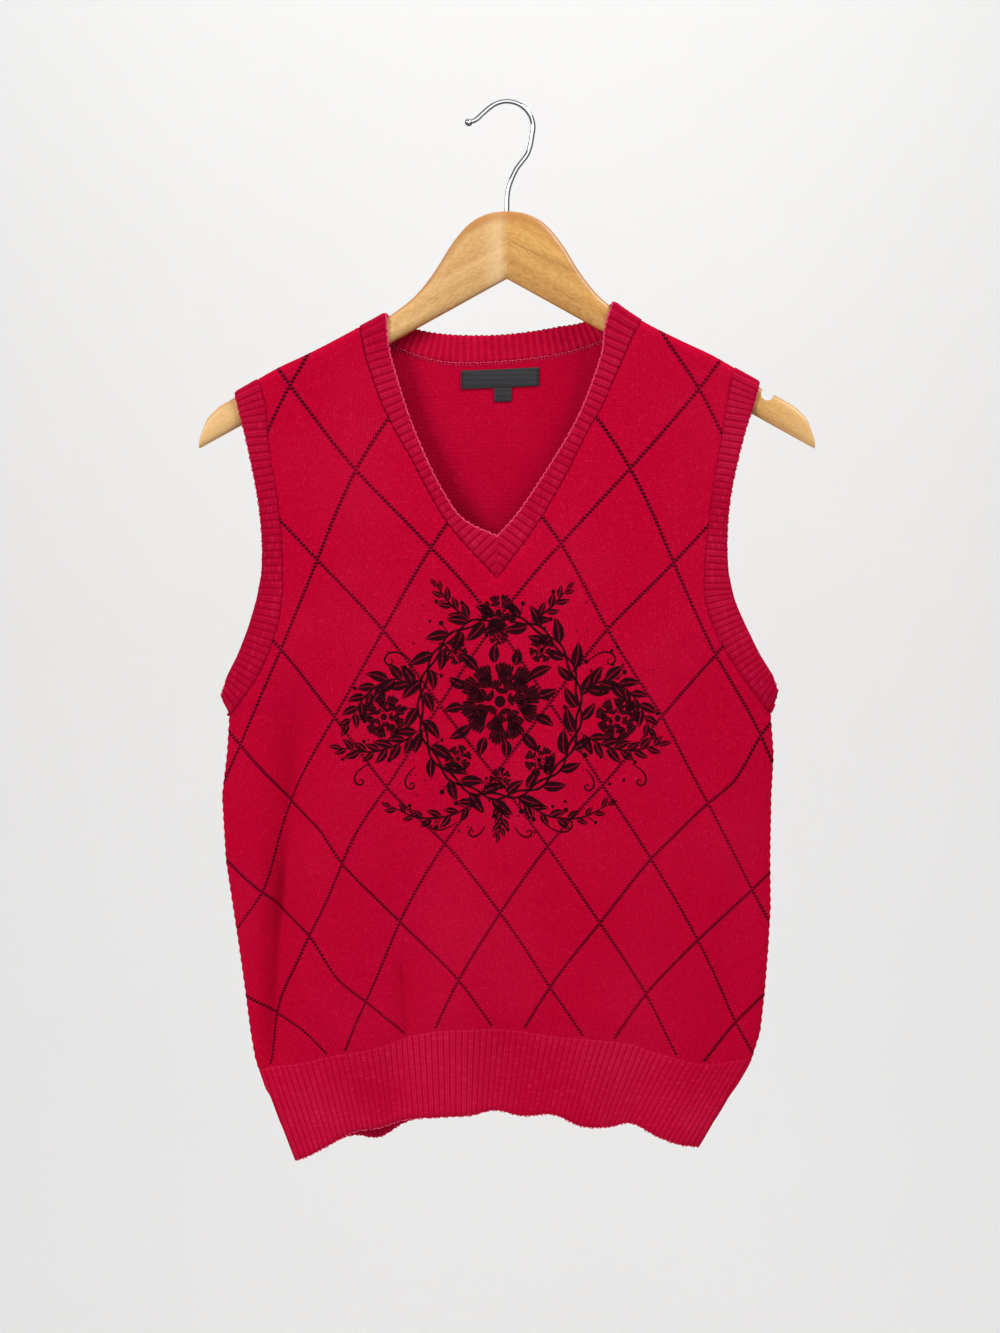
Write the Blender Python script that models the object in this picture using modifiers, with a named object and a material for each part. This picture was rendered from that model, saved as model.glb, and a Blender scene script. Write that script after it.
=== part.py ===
"""A knitted V-neck sweater vest hanging on a contoured wooden hanger.

The vest is two fine-knit panels with ribbed bands at the neck, armholes and hem. Every knitted piece
is a wall: its plain inside follows one depth function, and its outside, with the ribs, stands out
from that. The hanger is two glued wooden halves with a chrome wire hook.

Sizes are in millimetres and become metres where meshes are made. +Z is up and the front faces -Y.
The origin is the inside of the hook's crown, which a rail or a wall hook carries.
"""

import math
from collections import namedtuple

import bmesh
import bpy
import numpy as np

MM = 0.001
SEAM_GAP = 0.35  # between neighbouring pieces
FOLD_GAP = 0.6  # what a band adds to that where it folds over at a shoulder or an underarm
FOLD_GAP_LENGTH = 7.0

# Knitted walls
PANEL_WALL = 1.5
RIB_CREST = 2.1
RIB_VALLEY_SHARE = 0.55  # of the crest's thickness
LABEL_WALL = 1.0
LABEL_STAND_OFF = 0.5
NECK_RIB_PITCH = 4.4
ARM_RIB_PITCH = 4.6
HEM_RIBS = 94

# The hanger
HANGER_HALF_SPAN = 219.5
HANGER_HALF_THICKNESS = 6.0
HANGER_TIP_THICKNESS_SHARE = 0.7
HANGER_TIP_START = 190.0  # where the arms start to thin towards their tips
HANGER_BEND = 25.0  # how far the tips reach forward of the centre
HANGER_BEND_POWER = 1.25
HANGER_SECTION_POWER = 3.0  # of the rounded section: 2 is an ellipse, more is squarer
HANGER_STATIONS = 31
HANGER_TIP_CROWDING = 1.3
HANGER_SECTION_POINTS = 14
GLUE_GAP = 0.3
SLOT_X = 186.0
SLOT_Z = -212.6
SLOT_RADIUS = 4.6
SLOT_RISE = 20.0  # how far the slot's straight walls run, up and out of the wood
ARM_SLOPE = math.radians(28.8)
CUTTER_LENGTH = 60.0

# The wire hook
WIRE_RADIUS = 1.75
HOOK_RADIUS = 19.0  # of the wire's centre line round the crown
BALL_RADIUS = 2.8
BORE_BOTTOM = -108.0
HOOK_STATIONS = 56

# How the cloth lies over the hanger
RIDGE_HEIGHT = 6.0  # over which the cloth rounds from its face up to the shoulder line
FULLNESS_POWER = 3.0  # how late the section rounds in towards the sides
HEM_BEND_SHARE = 0.4  # of the hanger's bend that is left at the hem
BEND_KEPT_TO = -260.0  # the heights between which that bend relaxes
BEND_GONE_BY = -620.0

# How finely the cloth is divided
COLUMNS = 13
NECK_COLUMNS = 6  # of the back panel's, those under its neckband
EDGE_CROWDING = 1.4  # columns stand closer towards the sides, where the section turns round
CORNER_CROWDING = 2.2  # and towards the neck corner, where the back neck turns over the shoulder
YOKE_SHARE = 0.5  # of a half panel's grid, the part above the underarm
BODY_ROWS = 11
LABEL_COLUMNS = 7
CURVE_SAMPLES = 240
LINE_SAMPLES = 60

GARMENT_CENTRE = -7.0  # the vest hangs a little to the left of the hook

Point = namedtuple("Point", "x z")
Corner = namedtuple("Corner", "edge seam")  # the x of a band's edge and of its seam on the shoulder
HangerRow = namedtuple("HangerRow", "x top bottom")
NeckRow = namedtuple("NeckRow", "z left_edge left_seam right_seam right_edge")
BackNeckRow = namedtuple("BackNeckRow", "x edge seam")
ArmRow = namedtuple("ArmRow", "z left_edge left_seam right_seam right_edge")
SideRow = namedtuple("SideRow", "z left right")
ShoulderRow = namedtuple("ShoulderRow", "x z")
SectionRow = namedtuple("SectionRow", "z front back edge")
HemRow = namedtuple("HemRow", "x top front back")
Fold = namedtuple("Fold", "side x_top z_top x_bottom z_bottom width depth")
Finish = namedtuple("Finish", "name colour roughness metallic")

HANGER = (
    HangerRow(0, -77.6, -126.8),
    HangerRow(14, -79.9, -134.6),
    HangerRow(28, -88.0, -142.5),
    HangerRow(40, -102.5, -149.3),
    HangerRow(52, -122.0, -156.0),
    HangerRow(65, -138.8, -163.4),
    HangerRow(78, -150.0, -170.8),
    HangerRow(120, -173.2, -194.5),
    HangerRow(180, -207.0, -228.6),
    HangerRow(198, -216.8, -239.0),
    HangerRow(208.5, -224.2, -245.0),
    HangerRow(215.5, -233.6, -249.0),
    HangerRow(219.5, -245.4, -251.2),
)

# Where the shoulder's ridge lies, outside, by x
SHOULDER = (
    ShoulderRow(-200, -214.4),
    ShoulderRow(-178, -201.2),
    ShoulderRow(-164, -193.0),
    ShoulderRow(-142, -182.2),
    ShoulderRow(-105, -162.1),
    ShoulderRow(-87, -151.8),
    ShoulderRow(-60, -131.0),
    ShoulderRow(0, -76.0),
    ShoulderRow(60, -128.0),
    ShoulderRow(76, -143.1),
    ShoulderRow(97, -158.0),
    ShoulderRow(122, -171.3),
    ShoulderRow(147, -183.6),
    ShoulderRow(163, -193.0),
    ShoulderRow(186, -206.3),
)

# The front V: its bound edge and the seam between band and panel
NECK = (
    NeckRow(-165, -86.3, -105.0, 92.6, 70.2),
    NeckRow(-180, -84.5, -102.3, 85.8, 68.6),
    NeckRow(-200, -79.1, -96.2, 77.0, 62.3),
    NeckRow(-220, -73.0, -88.8, 68.2, 54.7),
    NeckRow(-240, -65.6, -78.5, 56.8, 44.6),
    NeckRow(-260, -56.9, -67.3, 47.1, 32.4),
    NeckRow(-280, -46.8, -56.8, 36.4, 19.6),
    NeckRow(-300, -33.0, -45.1, 24.6, 5.3),
)
NECK_EDGE_TIP = -313.7
NECK_SEAM_TIP = -343.2
NECK_CORNER = {"left": Corner(-86.8, -105.3), "right": Corner(76.2, 96.2)}

BACK_NECK = (
    BackNeckRow(-64, -163.5, -182.2),
    BackNeckRow(-47, -166.3, -186.2),
    BackNeckRow(-25, -167.2, -186.9),
    BackNeckRow(-3, -166.5, -185.7),
    BackNeckRow(19, -164.1, -183.5),
    BackNeckRow(38, -161.0, -180.6),
    BackNeckRow(54, -158.3, -176.6),
)

ARMHOLE = (
    ArmRow(-220, -192.4, -173.0, 157.6, 176.2),
    ArmRow(-240, -187.5, -171.3, 154.3, 170.0),
    ArmRow(-260, -183.1, -169.2, 151.0, 165.0),
    ArmRow(-280, -179.2, -165.5, 147.5, 160.8),
    ArmRow(-300, -176.4, -162.6, 145.0, 158.3),
    ArmRow(-320, -175.0, -161.0, 142.9, 157.5),
    ArmRow(-340, -175.4, -160.4, 141.5, 158.4),
    ArmRow(-360, -179.0, -160.9, 142.2, 162.8),
    ArmRow(-380, -184.9, -164.7, 148.5, 171.4),
    ArmRow(-400, -192.8, -171.3, 159.1, 181.4),
    ArmRow(-415, -200.4, -178.8, 169.1, 190.7),
)
ARM_CORNER = {"left": Corner(-194.2, -178.0), "right": Corner(180.4, 162.4)}
UNDERARM = {
    "left": {"edge": Point(-205.2, -428.5), "seam": Point(-198.4, -442.6)},
    "right": {"edge": Point(194.6, -425.0), "seam": Point(188.2, -440.0)},
}

SIDES = (
    SideRow(-441, -199.4, 189.6),
    SideRow(-470, -201.4, 191.9),
    SideRow(-500, -205.0, 190.4),
    SideRow(-546, -202.5, 189.8),
    SideRow(-580, -197.5, 190.2),
    SideRow(-610, -193.0, 188.5),
    SideRow(-640, -188.8, 186.1),
    SideRow(-670, -185.0, 182.8),
    SideRow(-690, -181.6, 176.5),
    SideRow(-705, -176.3, 169.0),
    SideRow(-720, -169.6, 160.8),
    SideRow(-740, -161.8, 147.6),
    SideRow(-765, -151.5, 136.0),
)

# Half the vest's depth, by height: in the middle of each face and at its outer edge
SECTIONS = (
    SectionRow(-60, 7.0, 7.0, 7.0),
    SectionRow(-250, 7.8, 7.4, 7.0),
    SectionRow(-300, 11.0, 8.5, 6.4),
    SectionRow(-343, 14.0, 10.0, 5.2),
    SectionRow(-400, 16.5, 11.0, 3.4),
    SectionRow(-428, 17.2, 11.4, 0.0),
    SectionRow(-560, 18.0, 12.0, 0.0),
    SectionRow(-640, 15.0, 11.0, 0.0),
    SectionRow(-690, 11.0, 9.5, 0.0),
    SectionRow(-770, 9.5, 8.5, 0.0),
)

# The line where the hem rib starts, and the wavy lower edges of its front and back
HEM = (
    HemRow(-182, -696.5, -766.0, -765.0),
    HemRow(-150, -692.0, -762.0, -759.5),
    HemRow(-130, -687.0, -752.0, -752.8),
    HemRow(-111, -683.6, -741.6, -746.2),
    HemRow(-92, -680.0, -738.6, -747.4),
    HemRow(-74, -673.4, -732.8, -737.4),
    HemRow(-48, -668.2, -730.6, -734.0),
    HemRow(-25, -667.4, -729.2, -732.8),
    HemRow(-9, -667.0, -726.3, -727.6),
    HemRow(10, -668.6, -730.0, -726.4),
    HemRow(35, -672.4, -729.2, -726.8),
    HemRow(52, -673.8, -737.0, -729.0),
    HemRow(74, -675.4, -738.0, -733.6),
    HemRow(88, -677.2, -735.0, -734.2),
    HemRow(108, -684.0, -744.6, -739.4),
    HemRow(121, -687.8, -749.8, -745.6),
    HemRow(140, -692.4, -753.0, -751.4),
    HemRow(180, -688.0, -757.0, -756.0),
)
HEM_TOP_CORNER = {"left": Point(-179.8, -697.3), "right": Point(176.8, -689.0)}
HEM_BOTTOM_CORNER = {"left": Point(-152.6, -763.0), "right": Point(138.6, -753.0)}
HEM_TOP_INSET = 12.0  # how far short of its corners the table is read, above and below
HEM_BOTTOM_INSET = 8.0

# Soft vertical troughs (positive depth) and ridges (negative)
FOLDS = (
    Fold("front", -157, -425, -169, -690, 15, 5.0),
    Fold("front", -80, -600, -75, -700, 11, 2.6),
    Fold("front", 134, -430, 138, -600, 18, 3.0),
    Fold("front", -24, -560, -34, -700, 20, -2.0),
    Fold("front", 70, -520, 84, -700, 22, -2.4),
    Fold("back", -140, -420, -152, -690, 17, 4.0),
    Fold("back", 120, -440, 128, -700, 16, 4.2),
    Fold("back", 36, -480, 30, -690, 20, 2.4),
    Fold("back", -58, -500, -64, -680, 24, -2.2),
)
FOLD_FADE = 45.0  # the length over which a fold starts and ends
HEM_WAVE = 2.2  # how far the hem's lower edge sways in and out
HEM_WAVE_LENGTH = 83.0
HEM_WAVE_START = -30.0
HEM_WAVE_TOP = -660.0  # the heights over which the wave grows
HEM_WAVE_BOTTOM = -750.0

LABEL = {"left": -32.3, "right": 22.9, "top": -192.0, "bottom": -205.2, "tilt": 2.0}
TAB = {"left": -9.2, "right": 3.5, "top": -206.0, "bottom": -214.8, "tilt": 0.3}

# The wire's route in (x, z), from the wood up to the crown's arc and from that to the ball
HOOK_STEM = ((0, BORE_BOTTOM + SEAM_GAP), (0, -78), (1.0, -62), (6.5, -48), (15.5, -35))
HOOK_TAIL = ((-17.5, -7.2), (-22.4, -11.6), (-27.6, -13.6))
HOOK_ARC_DEGREES = (-15, 0, 14, 28, 43, 57, 72, 86, 101, 115, 130)

FINISHES = {
    "red_knit": Finish("red_knit", "B50A32", 0.92, 0.0),
    "label_cloth": Finish("label_cloth", "2E2C30", 0.85, 0.0),
    "wood": Finish("wood", "DFA968", 0.35, 0.0),
    "chrome": Finish("chrome", "C9CBCE", 0.12, 1.0),
}

SIDE_SIGN = {"front": -1.0, "back": 1.0}


def smooth(knots, values, at):
    """The value at each position of `at` on a smooth curve through values over rising knots."""
    knots, values = np.asarray(knots, float), np.asarray(values, float)
    slopes = np.gradient(values, knots)
    at = np.clip(at, knots[0], knots[-1])
    i = np.clip(np.searchsorted(knots, at, side="right") - 1, 0, len(knots) - 2)
    span = knots[i + 1] - knots[i]
    t = (at - knots[i]) / span
    start = values[i] * (1 + 2 * t) * (1 - t) ** 2 + values[i + 1] * t * t * (3 - 2 * t)
    return start + span * (slopes[i] * t * (1 - t) ** 2 - slopes[i + 1] * t * t * (1 - t))


def column(table, key, name, at):
    """Reads the named column of a table at each position `at` along its key column."""
    rows = sorted(table, key=lambda row: getattr(row, key))
    knots = [getattr(row, key) for row in rows]
    return smooth(knots, [getattr(row, name) for row in rows], at)


def fade(start, end, at):
    """Rises smoothly from 0 at start to 1 at end."""
    t = np.clip((np.asarray(at, float) - start) / (end - start), 0, 1)
    return t * t * (3 - 2 * t)


def hanger_bend(x):
    """How far forward of its centre the hanger is at x."""
    return -HANGER_BEND * (np.abs(x) / HANGER_HALF_SPAN) ** HANGER_BEND_POWER


def ridge(x):
    """The height of the shoulder's inside at x."""
    return column(SHOULDER, "x", "z", x) - PANEL_WALL


def silhouette(z, side):
    """The x of the vest's left or right outline at height z, inside the wall."""
    under = UNDERARM[side]["edge"]
    points = [(ridge(ARM_CORNER[side].edge), ARM_CORNER[side].edge), (under.z, under.x)]
    points += [(row.z, getattr(row, side + "_edge")) for row in ARMHOLE]
    points += [(row.z, getattr(row, side)) for row in SIDES]
    heights, xs = zip(*sorted(points))
    inset = PANEL_WALL if side == "left" else -PANEL_WALL
    return np.interp(z, heights, xs) + inset


def folds(x, z, side):
    """How far the folds of one face press in at (x, z)."""
    total = np.zeros(np.broadcast(x, z).shape)
    for fold in FOLDS:
        if fold.side != side:
            continue
        along = (z - fold.z_top) / (fold.z_bottom - fold.z_top)
        middle = fold.x_top + along * (fold.x_bottom - fold.x_top)
        across = np.exp(-(((x - middle) / fold.width) ** 2))
        starts = fade(fold.z_top + FOLD_FADE, fold.z_top - FOLD_FADE, z)
        ends = fade(fold.z_bottom - FOLD_FADE, fold.z_bottom + FOLD_FADE, z)
        total = total + fold.depth * across * starts * ends
    return total


def depth(x, z, side):
    """The y of the inside of one face of the vest at (x, z)."""
    x, z = np.asarray(x, float), np.asarray(z, float)
    left, right = silhouette(z, "left"), silhouette(z, "right")
    across = np.clip((2 * x - left - right) / (right - left), -1, 1)
    edge = np.maximum(column(SECTIONS, "z", "edge", z), 0)
    middle = column(SECTIONS, "z", side, z)
    bulge = np.sqrt(1 - np.abs(across) ** FULLNESS_POWER)
    half = edge + (middle - edge) * bulge
    below = np.clip((ridge(x) - z) / RIDGE_HEIGHT, 0, 1)
    half = half * np.sqrt(1 - (1 - below) ** 2)
    relaxed = 1 - (1 - HEM_BEND_SHARE) * fade(BEND_KEPT_TO, BEND_GONE_BY, z)
    turn = 2 * math.pi * (x - HEM_WAVE_START) / HEM_WAVE_LENGTH
    sway = HEM_WAVE * np.sin(turn) * fade(HEM_WAVE_TOP, HEM_WAVE_BOTTOM, z)
    sign = SIDE_SIGN[side]
    pressed = (folds(x, z, side) + sway) * bulge
    return hanger_bend(x) * relaxed + sign * (half - pressed)


def on_face(points, side):
    """Adds the y of one face to (x, z) points, as an array of (x, y, z)."""
    points = np.asarray(points, float)
    y = depth(points[:, 0], points[:, 1], side)
    return np.column_stack([points[:, 0], y, points[:, 1]])


def curve_through(points, samples=CURVE_SAMPLES):
    """Finely sampled smooth curve through points, by their distance along the chords."""
    points = np.asarray(points, float)
    steps = np.linalg.norm(np.diff(points, axis=0), axis=1)
    knots = np.concatenate([[0], np.cumsum(steps)])
    at = np.linspace(0, knots[-1], samples)
    return np.column_stack([smooth(knots, points[:, k], at) for k in range(points.shape[1])])


def lengths(points):
    """The distance along a polyline at each of its points."""
    steps = np.linalg.norm(np.diff(points, axis=0), axis=1)
    return np.concatenate([[0], np.cumsum(steps)])


def pick(points, shares):
    """Points on a polyline at the given shares of its length."""
    along = lengths(points)
    at = np.asarray(shares, float) * along[-1]
    return np.column_stack([np.interp(at, along, points[:, k]) for k in range(points.shape[1])])


def neck_line(side, which):
    """The front (x, z) line of the V's edge or seam on one side, from the shoulder to the V's tip."""
    top = getattr(NECK_CORNER[side], which)
    tip = NECK_EDGE_TIP if which == "edge" else NECK_SEAM_TIP
    points = [(top, float(ridge(top)))]
    points += [(getattr(row, f"{side}_{which}"), row.z) for row in NECK]
    points += [(GARMENT_CENTRE, tip)]
    return curve_through(points)


def back_neck_line(which):
    """The back neck's edge or seam from the left shoulder to the right one."""
    left, right = (getattr(NECK_CORNER[side], which) for side in ("left", "right"))
    points = [(left, float(ridge(left)))]
    points += [(row.x, getattr(row, which)) for row in BACK_NECK]
    points += [(right, float(ridge(right)))]
    return curve_through(points)


def arm_line(side, which):
    """The (x, z) line of the armhole's edge or seam on one side, from the shoulder to the underarm."""
    top = getattr(ARM_CORNER[side], which)
    points = [(top, float(ridge(top)))]
    points += [(getattr(row, f"{side}_{which}"), row.z) for row in ARMHOLE]
    points += [UNDERARM[side][which]]
    return curve_through(points)


def shoulder_line(side):
    """The inside of the shoulder from the neck seam to the armhole seam."""
    xs = np.linspace(NECK_CORNER[side].seam, ARM_CORNER[side].seam, LINE_SAMPLES)
    return np.column_stack([xs, ridge(xs)])


def side_line(side):
    """The side seam from the underarm to the hem rib."""
    heights = np.linspace(UNDERARM[side]["seam"].z, HEM_TOP_CORNER[side].z, LINE_SAMPLES)
    return np.column_stack([silhouette(heights, side), heights])


def hem_line(side):
    """The line where the hem rib starts, from the centre to the side seam."""
    corner = HEM_TOP_CORNER[side]
    last = corner.x - math.copysign(HEM_TOP_INSET, corner.x)
    xs = np.linspace(GARMENT_CENTRE, last, LINE_SAMPLES)
    return np.vstack([np.column_stack([xs, column(HEM, "x", "top", xs)]), corner])


def coons(top, bottom, inner, outer, across, down):
    """Fills four boundary lines with a grid of (x, z) points at the given shares across and down."""
    top, bottom = pick(top, across), pick(bottom, across)
    s, t = np.asarray(across)[None, :, None], np.asarray(down)[:, None, None]
    inner, outer = inner[:, None, :], outer[:, None, :]
    ruled = (1 - s) * inner + s * outer + (1 - t) * top[None] + t * bottom[None]
    corners = (1 - t) * ((1 - s) * top[0] + s * top[-1]) + t * ((1 - s) * bottom[0] + s * bottom[-1])
    return ruled - corners


def crowded(count, crowding):
    """Shares from 0 to 1 that stand closer towards 1."""
    return 1 - (1 - np.linspace(0, 1, count + 1)) ** crowding


# The shares of a half panel's height at which its rows lie: the yoke's, the body's and all of them.
# The yoke's are close together where the cloth rounds over the shoulder.
YOKE_ROWS = np.array(
    [0, 0.006, 0.016, 0.035, 0.08, 0.15, 0.24, 0.33, 0.42, 0.51, 0.6, 0.69, 0.78, 0.86, 0.93, 1]
)
BODY_STEPS = np.linspace(0, 1, BODY_ROWS + 1)[1:]
DOWN = np.concatenate([YOKE_ROWS * YOKE_SHARE, YOKE_SHARE + BODY_STEPS * (1 - YOKE_SHARE)])


def face_grid(xz, side):
    """A panel's grid of inside points, parted from the other panel's by half a seam gap."""
    rows, columns = xz.shape[:2]
    grid = on_face(xz.reshape(-1, 2), side).reshape(rows, columns, 3)
    grid[:, :, 1] += SIDE_SIGN[side] * SEAM_GAP / 2
    return grid


def outer_line(side):
    """A half panel's outer points, row by row: the armhole's seam and then the side seam."""
    return np.vstack([pick(arm_line(side, "seam"), YOKE_ROWS), pick(side_line(side), BODY_STEPS)])


def front_half(side):
    """Half of the front panel: the V and the centre line inside, armhole and side seam outside."""
    centre = np.array([(GARMENT_CENTRE, NECK_SEAM_TIP), (GARMENT_CENTRE, hem_line(side)[0, 1])])
    inner = np.vstack([pick(neck_line(side, "seam"), YOKE_ROWS), pick(centre, BODY_STEPS)])
    across = crowded(COLUMNS, EDGE_CROWDING)
    xz = coons(shoulder_line(side), hem_line(side), inner, outer_line(side), across, DOWN)
    return face_grid(xz, "front")


def back_half(side):
    """Half of the back panel: neck and shoulder along the top, the centre line inside."""
    neck = back_neck_line("seam")
    middle = np.argmin(np.abs(neck[:, 0] - GARMENT_CENTRE))
    neck = neck[middle::-1] if side == "left" else neck[middle:]
    neck = np.vstack([[GARMENT_CENTRE, neck[0, 1]], neck[1:]])
    top = np.vstack([neck, shoulder_line(side)[1:]])
    neck_share = lengths(neck)[-1] / lengths(top)[-1]
    neck_shares = crowded(NECK_COLUMNS, CORNER_CROWDING)
    shoulder_shares = crowded(COLUMNS - NECK_COLUMNS, EDGE_CROWDING)
    across = np.concatenate(
        [neck_share * neck_shares, neck_share + (1 - neck_share) * shoulder_shares[1:]]
    )
    centre = np.array([top[0], (GARMENT_CENTRE, hem_line(side)[0, 1])])
    xz = coons(top, hem_line(side), pick(centre, DOWN), outer_line(side), across, DOWN)
    return face_grid(xz, "back")


def band_grid(stretches, ribs, closed):
    """A band's two rows of points, seam and edge, from stretches of both lines that lie side by side.

    The seam row is drawn back from its panel by the gap.
    """
    seam, edge, gaps = [], [], []
    for (seam_line, edge_line), count in zip(stretches, ribs):
        shares = np.linspace(0, 1, 2 * count + 1)
        seam.append(pick(seam_line, shares)[:-1])
        edge.append(pick(edge_line, shares)[:-1])
        from_end = lengths(seam_line)[-1] * np.minimum(shares, 1 - shares)[:-1]
        gaps.append(SEAM_GAP + FOLD_GAP * np.exp(-((from_end / FOLD_GAP_LENGTH) ** 2)))
    last_seam, last_edge = stretches[0] if closed else stretches[-1]
    end = 0 if closed else -1
    seam, edge = np.vstack(seam + [last_seam[end]]), np.vstack(edge + [last_edge[end]])
    gaps = np.concatenate(gaps + [gaps[0][:1]])
    reach = edge - seam
    seam = seam + reach * (gaps / np.linalg.norm(reach, axis=1))[:, None]
    return np.stack([seam, edge])


def rib_counts(stretches, pitch):
    """How many ribs each stretch of a band holds, at the given pitch along its middle."""
    middles = [(lengths(seam)[-1] + lengths(edge)[-1]) / 2 for seam, edge in stretches]
    return [round(middle / pitch) for middle in middles]


def collection(name, parent):
    """A new collection under the parent one."""
    made = bpy.data.collections.new(name)
    parent.children.link(made)
    return made


def linear(channel):
    """A linear colour value from an sRGB one."""
    return channel / 12.92 if channel <= 0.04045 else ((channel + 0.055) / 1.055) ** 2.4


def material(finish):
    """A Principled material for a finish, made once."""
    if finish.name in bpy.data.materials:
        return bpy.data.materials[finish.name]
    made = bpy.data.materials.new(finish.name)
    made.use_nodes = True
    shader = made.node_tree.nodes["Principled BSDF"]
    rgb = [linear(int(finish.colour[k : k + 2], 16) / 255) for k in (0, 2, 4)]
    shader.inputs["Base Color"].default_value = (*rgb, 1)
    shader.inputs["Roughness"].default_value = finish.roughness
    shader.inputs["Metallic"].default_value = finish.metallic
    return made


def add_object(name, bm, finish, where):
    """Turns a bmesh in millimetres into a named object in metres."""
    mesh = bpy.data.meshes.new(name)
    bmesh.ops.scale(bm, vec=(MM, MM, MM), verts=bm.verts)
    bm.to_mesh(mesh)
    bm.free()
    obj = bpy.data.objects.new(name, mesh)
    obj.data.materials.append(material(FINISHES[finish]))
    where.objects.link(obj)
    return obj


def place_grid(bm, grid, flip=False):
    """Adds a grid of faces whose vertices lie at the grid's points. Returns them by column."""
    rows, columns = grid.shape[:2]
    made = bmesh.ops.create_grid(bm, x_segments=columns - 1, y_segments=rows - 1, size=0.5)["verts"]
    by_column = [[] for _ in range(columns)]
    for vert in made:
        i = round((vert.co.y + 0.5) * (rows - 1))
        j = round((vert.co.x + 0.5) * (columns - 1))
        vert.co = grid[i, j]
        by_column[j].append(vert)
    if flip:
        bmesh.ops.reverse_faces(bm, faces=list({face for vert in made for face in vert.link_faces}))
    return by_column


def wall(name, grids, thickness, finish, where, ribbed=False, flip=()):
    """A solid wall that stands outwards from an open surface of welded grids."""
    bm = bmesh.new()
    crests = bm.verts.layers.deform.verify()
    for number, grid in enumerate(grids):
        for k, verts in enumerate(place_grid(bm, grid, number in flip)):
            share = RIB_VALLEY_SHARE if ribbed and k % 2 else 1.0
            for vert in verts:
                vert[crests][0] = share
    bmesh.ops.remove_doubles(bm, verts=bm.verts, dist=0.001)
    obj = add_object(name, bm, finish, where)
    obj.vertex_groups.new(name="rib crests")
    shell = obj.modifiers.new("wall", "SOLIDIFY")
    shell.thickness = thickness * MM
    shell.offset = 1
    shell.vertex_group = "rib crests"
    shell.thickness_vertex_group = 0
    return obj


def make_panels(where):
    """The front and back panels. Returns their half grids by face and side."""
    halves = {
        ("front", "left"): front_half("left"),
        ("front", "right"): front_half("right"),
        ("back", "left"): back_half("left"),
        ("back", "right"): back_half("right"),
    }
    for face in ("front", "back"):
        grids = [halves[face, "left"], halves[face, "right"]]
        flip = (0,) if face == "back" else (1,)
        wall(f"{face}_panel", grids, PANEL_WALL, "red_knit", where, flip=flip)
    return halves


def make_neckband(halves, where):
    """The rib round the neck: up the right of the V, across the back and down the left."""
    yoke = len(YOKE_ROWS)
    back_seam = np.vstack(
        [
            halves["back", "right"][0, : NECK_COLUMNS + 1][::-1],
            halves["back", "left"][0, 1 : NECK_COLUMNS + 1],
        ]
    )
    stretches = [
        (
            halves["front", "right"][:yoke, 0][::-1],
            on_face(neck_line("right", "edge"), "front")[::-1],
        ),
        (back_seam, on_face(back_neck_line("edge"), "back")[::-1]),
        (halves["front", "left"][:yoke, 0], on_face(neck_line("left", "edge"), "front")),
    ]
    grid = band_grid(stretches, rib_counts(stretches, NECK_RIB_PITCH), closed=True)
    wall("neckband", [grid], RIB_CREST, "red_knit", where, ribbed=True)


def make_armband(side, halves, where):
    """The rib round one armhole: up the front, over the shoulder and down the back."""
    yoke = len(YOKE_ROWS)
    edge_line = arm_line(side, "edge")
    stretches = [
        (halves["front", side][:yoke, -1][::-1], on_face(edge_line, "front")[::-1]),
        (halves["back", side][:yoke, -1], on_face(edge_line, "back")),
    ]
    grid = band_grid(stretches, rib_counts(stretches, ARM_RIB_PITCH), closed=True)
    flip = (0,) if side == "right" else ()
    wall(f"armband_{side}", [grid], RIB_CREST, "red_knit", where, ribbed=True, flip=flip)


def make_hem(face, halves, where):
    """One face of the hem rib, from its line on the panel to its wavy lower edge."""
    top = np.vstack([halves[face, "left"][-1][::-1], halves[face, "right"][-1][1:]])
    left, right = HEM_BOTTOM_CORNER["left"], HEM_BOTTOM_CORNER["right"]
    xs = np.linspace(left.x + HEM_BOTTOM_INSET, right.x - HEM_BOTTOM_INSET, LINE_SAMPLES)
    middle = np.column_stack([xs, column(HEM, "x", face, xs)])
    bottom = on_face(np.vstack([left, middle, right]), face)
    bottom[:, 1] += SIDE_SIGN[face] * SEAM_GAP / 2
    grid = band_grid([(top, bottom)], [HEM_RIBS], closed=False)
    flip = (0,) if face == "front" else ()
    wall(f"hem_rib_{face}", [grid], RIB_CREST, "red_knit", where, ribbed=True, flip=flip)


def make_label(name, place, where):
    """A woven label that stands just clear of the back panel's inside."""
    xs = np.linspace(place["left"], place["right"], LABEL_COLUMNS)
    tilt = np.linspace(-0.5, 0.5, LABEL_COLUMNS) * place["tilt"]
    rows = [np.column_stack([xs, place[key] + tilt]) for key in ("bottom", "top")]
    grid = np.stack([on_face(row, "back") for row in rows])
    grid[:, :, 1] -= LABEL_STAND_OFF
    wall(name, [grid], LABEL_WALL, "label_cloth", where)


def section(x, top, bottom, thickness):
    """A rounded section of the hanger at x, as a closed ring of points."""
    turns = np.linspace(0, 2 * math.pi, HANGER_SECTION_POINTS + 1)
    power = 2 / HANGER_SECTION_POWER
    c, s = np.cos(turns), np.sin(turns)
    y = hanger_bend(x) + thickness * np.sign(c) * np.abs(c) ** power
    z = (top + bottom) / 2 + (top - bottom) / 2 * np.sign(s) * np.abs(s) ** power
    return np.column_stack([np.full(len(turns), x), y, z])


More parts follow.
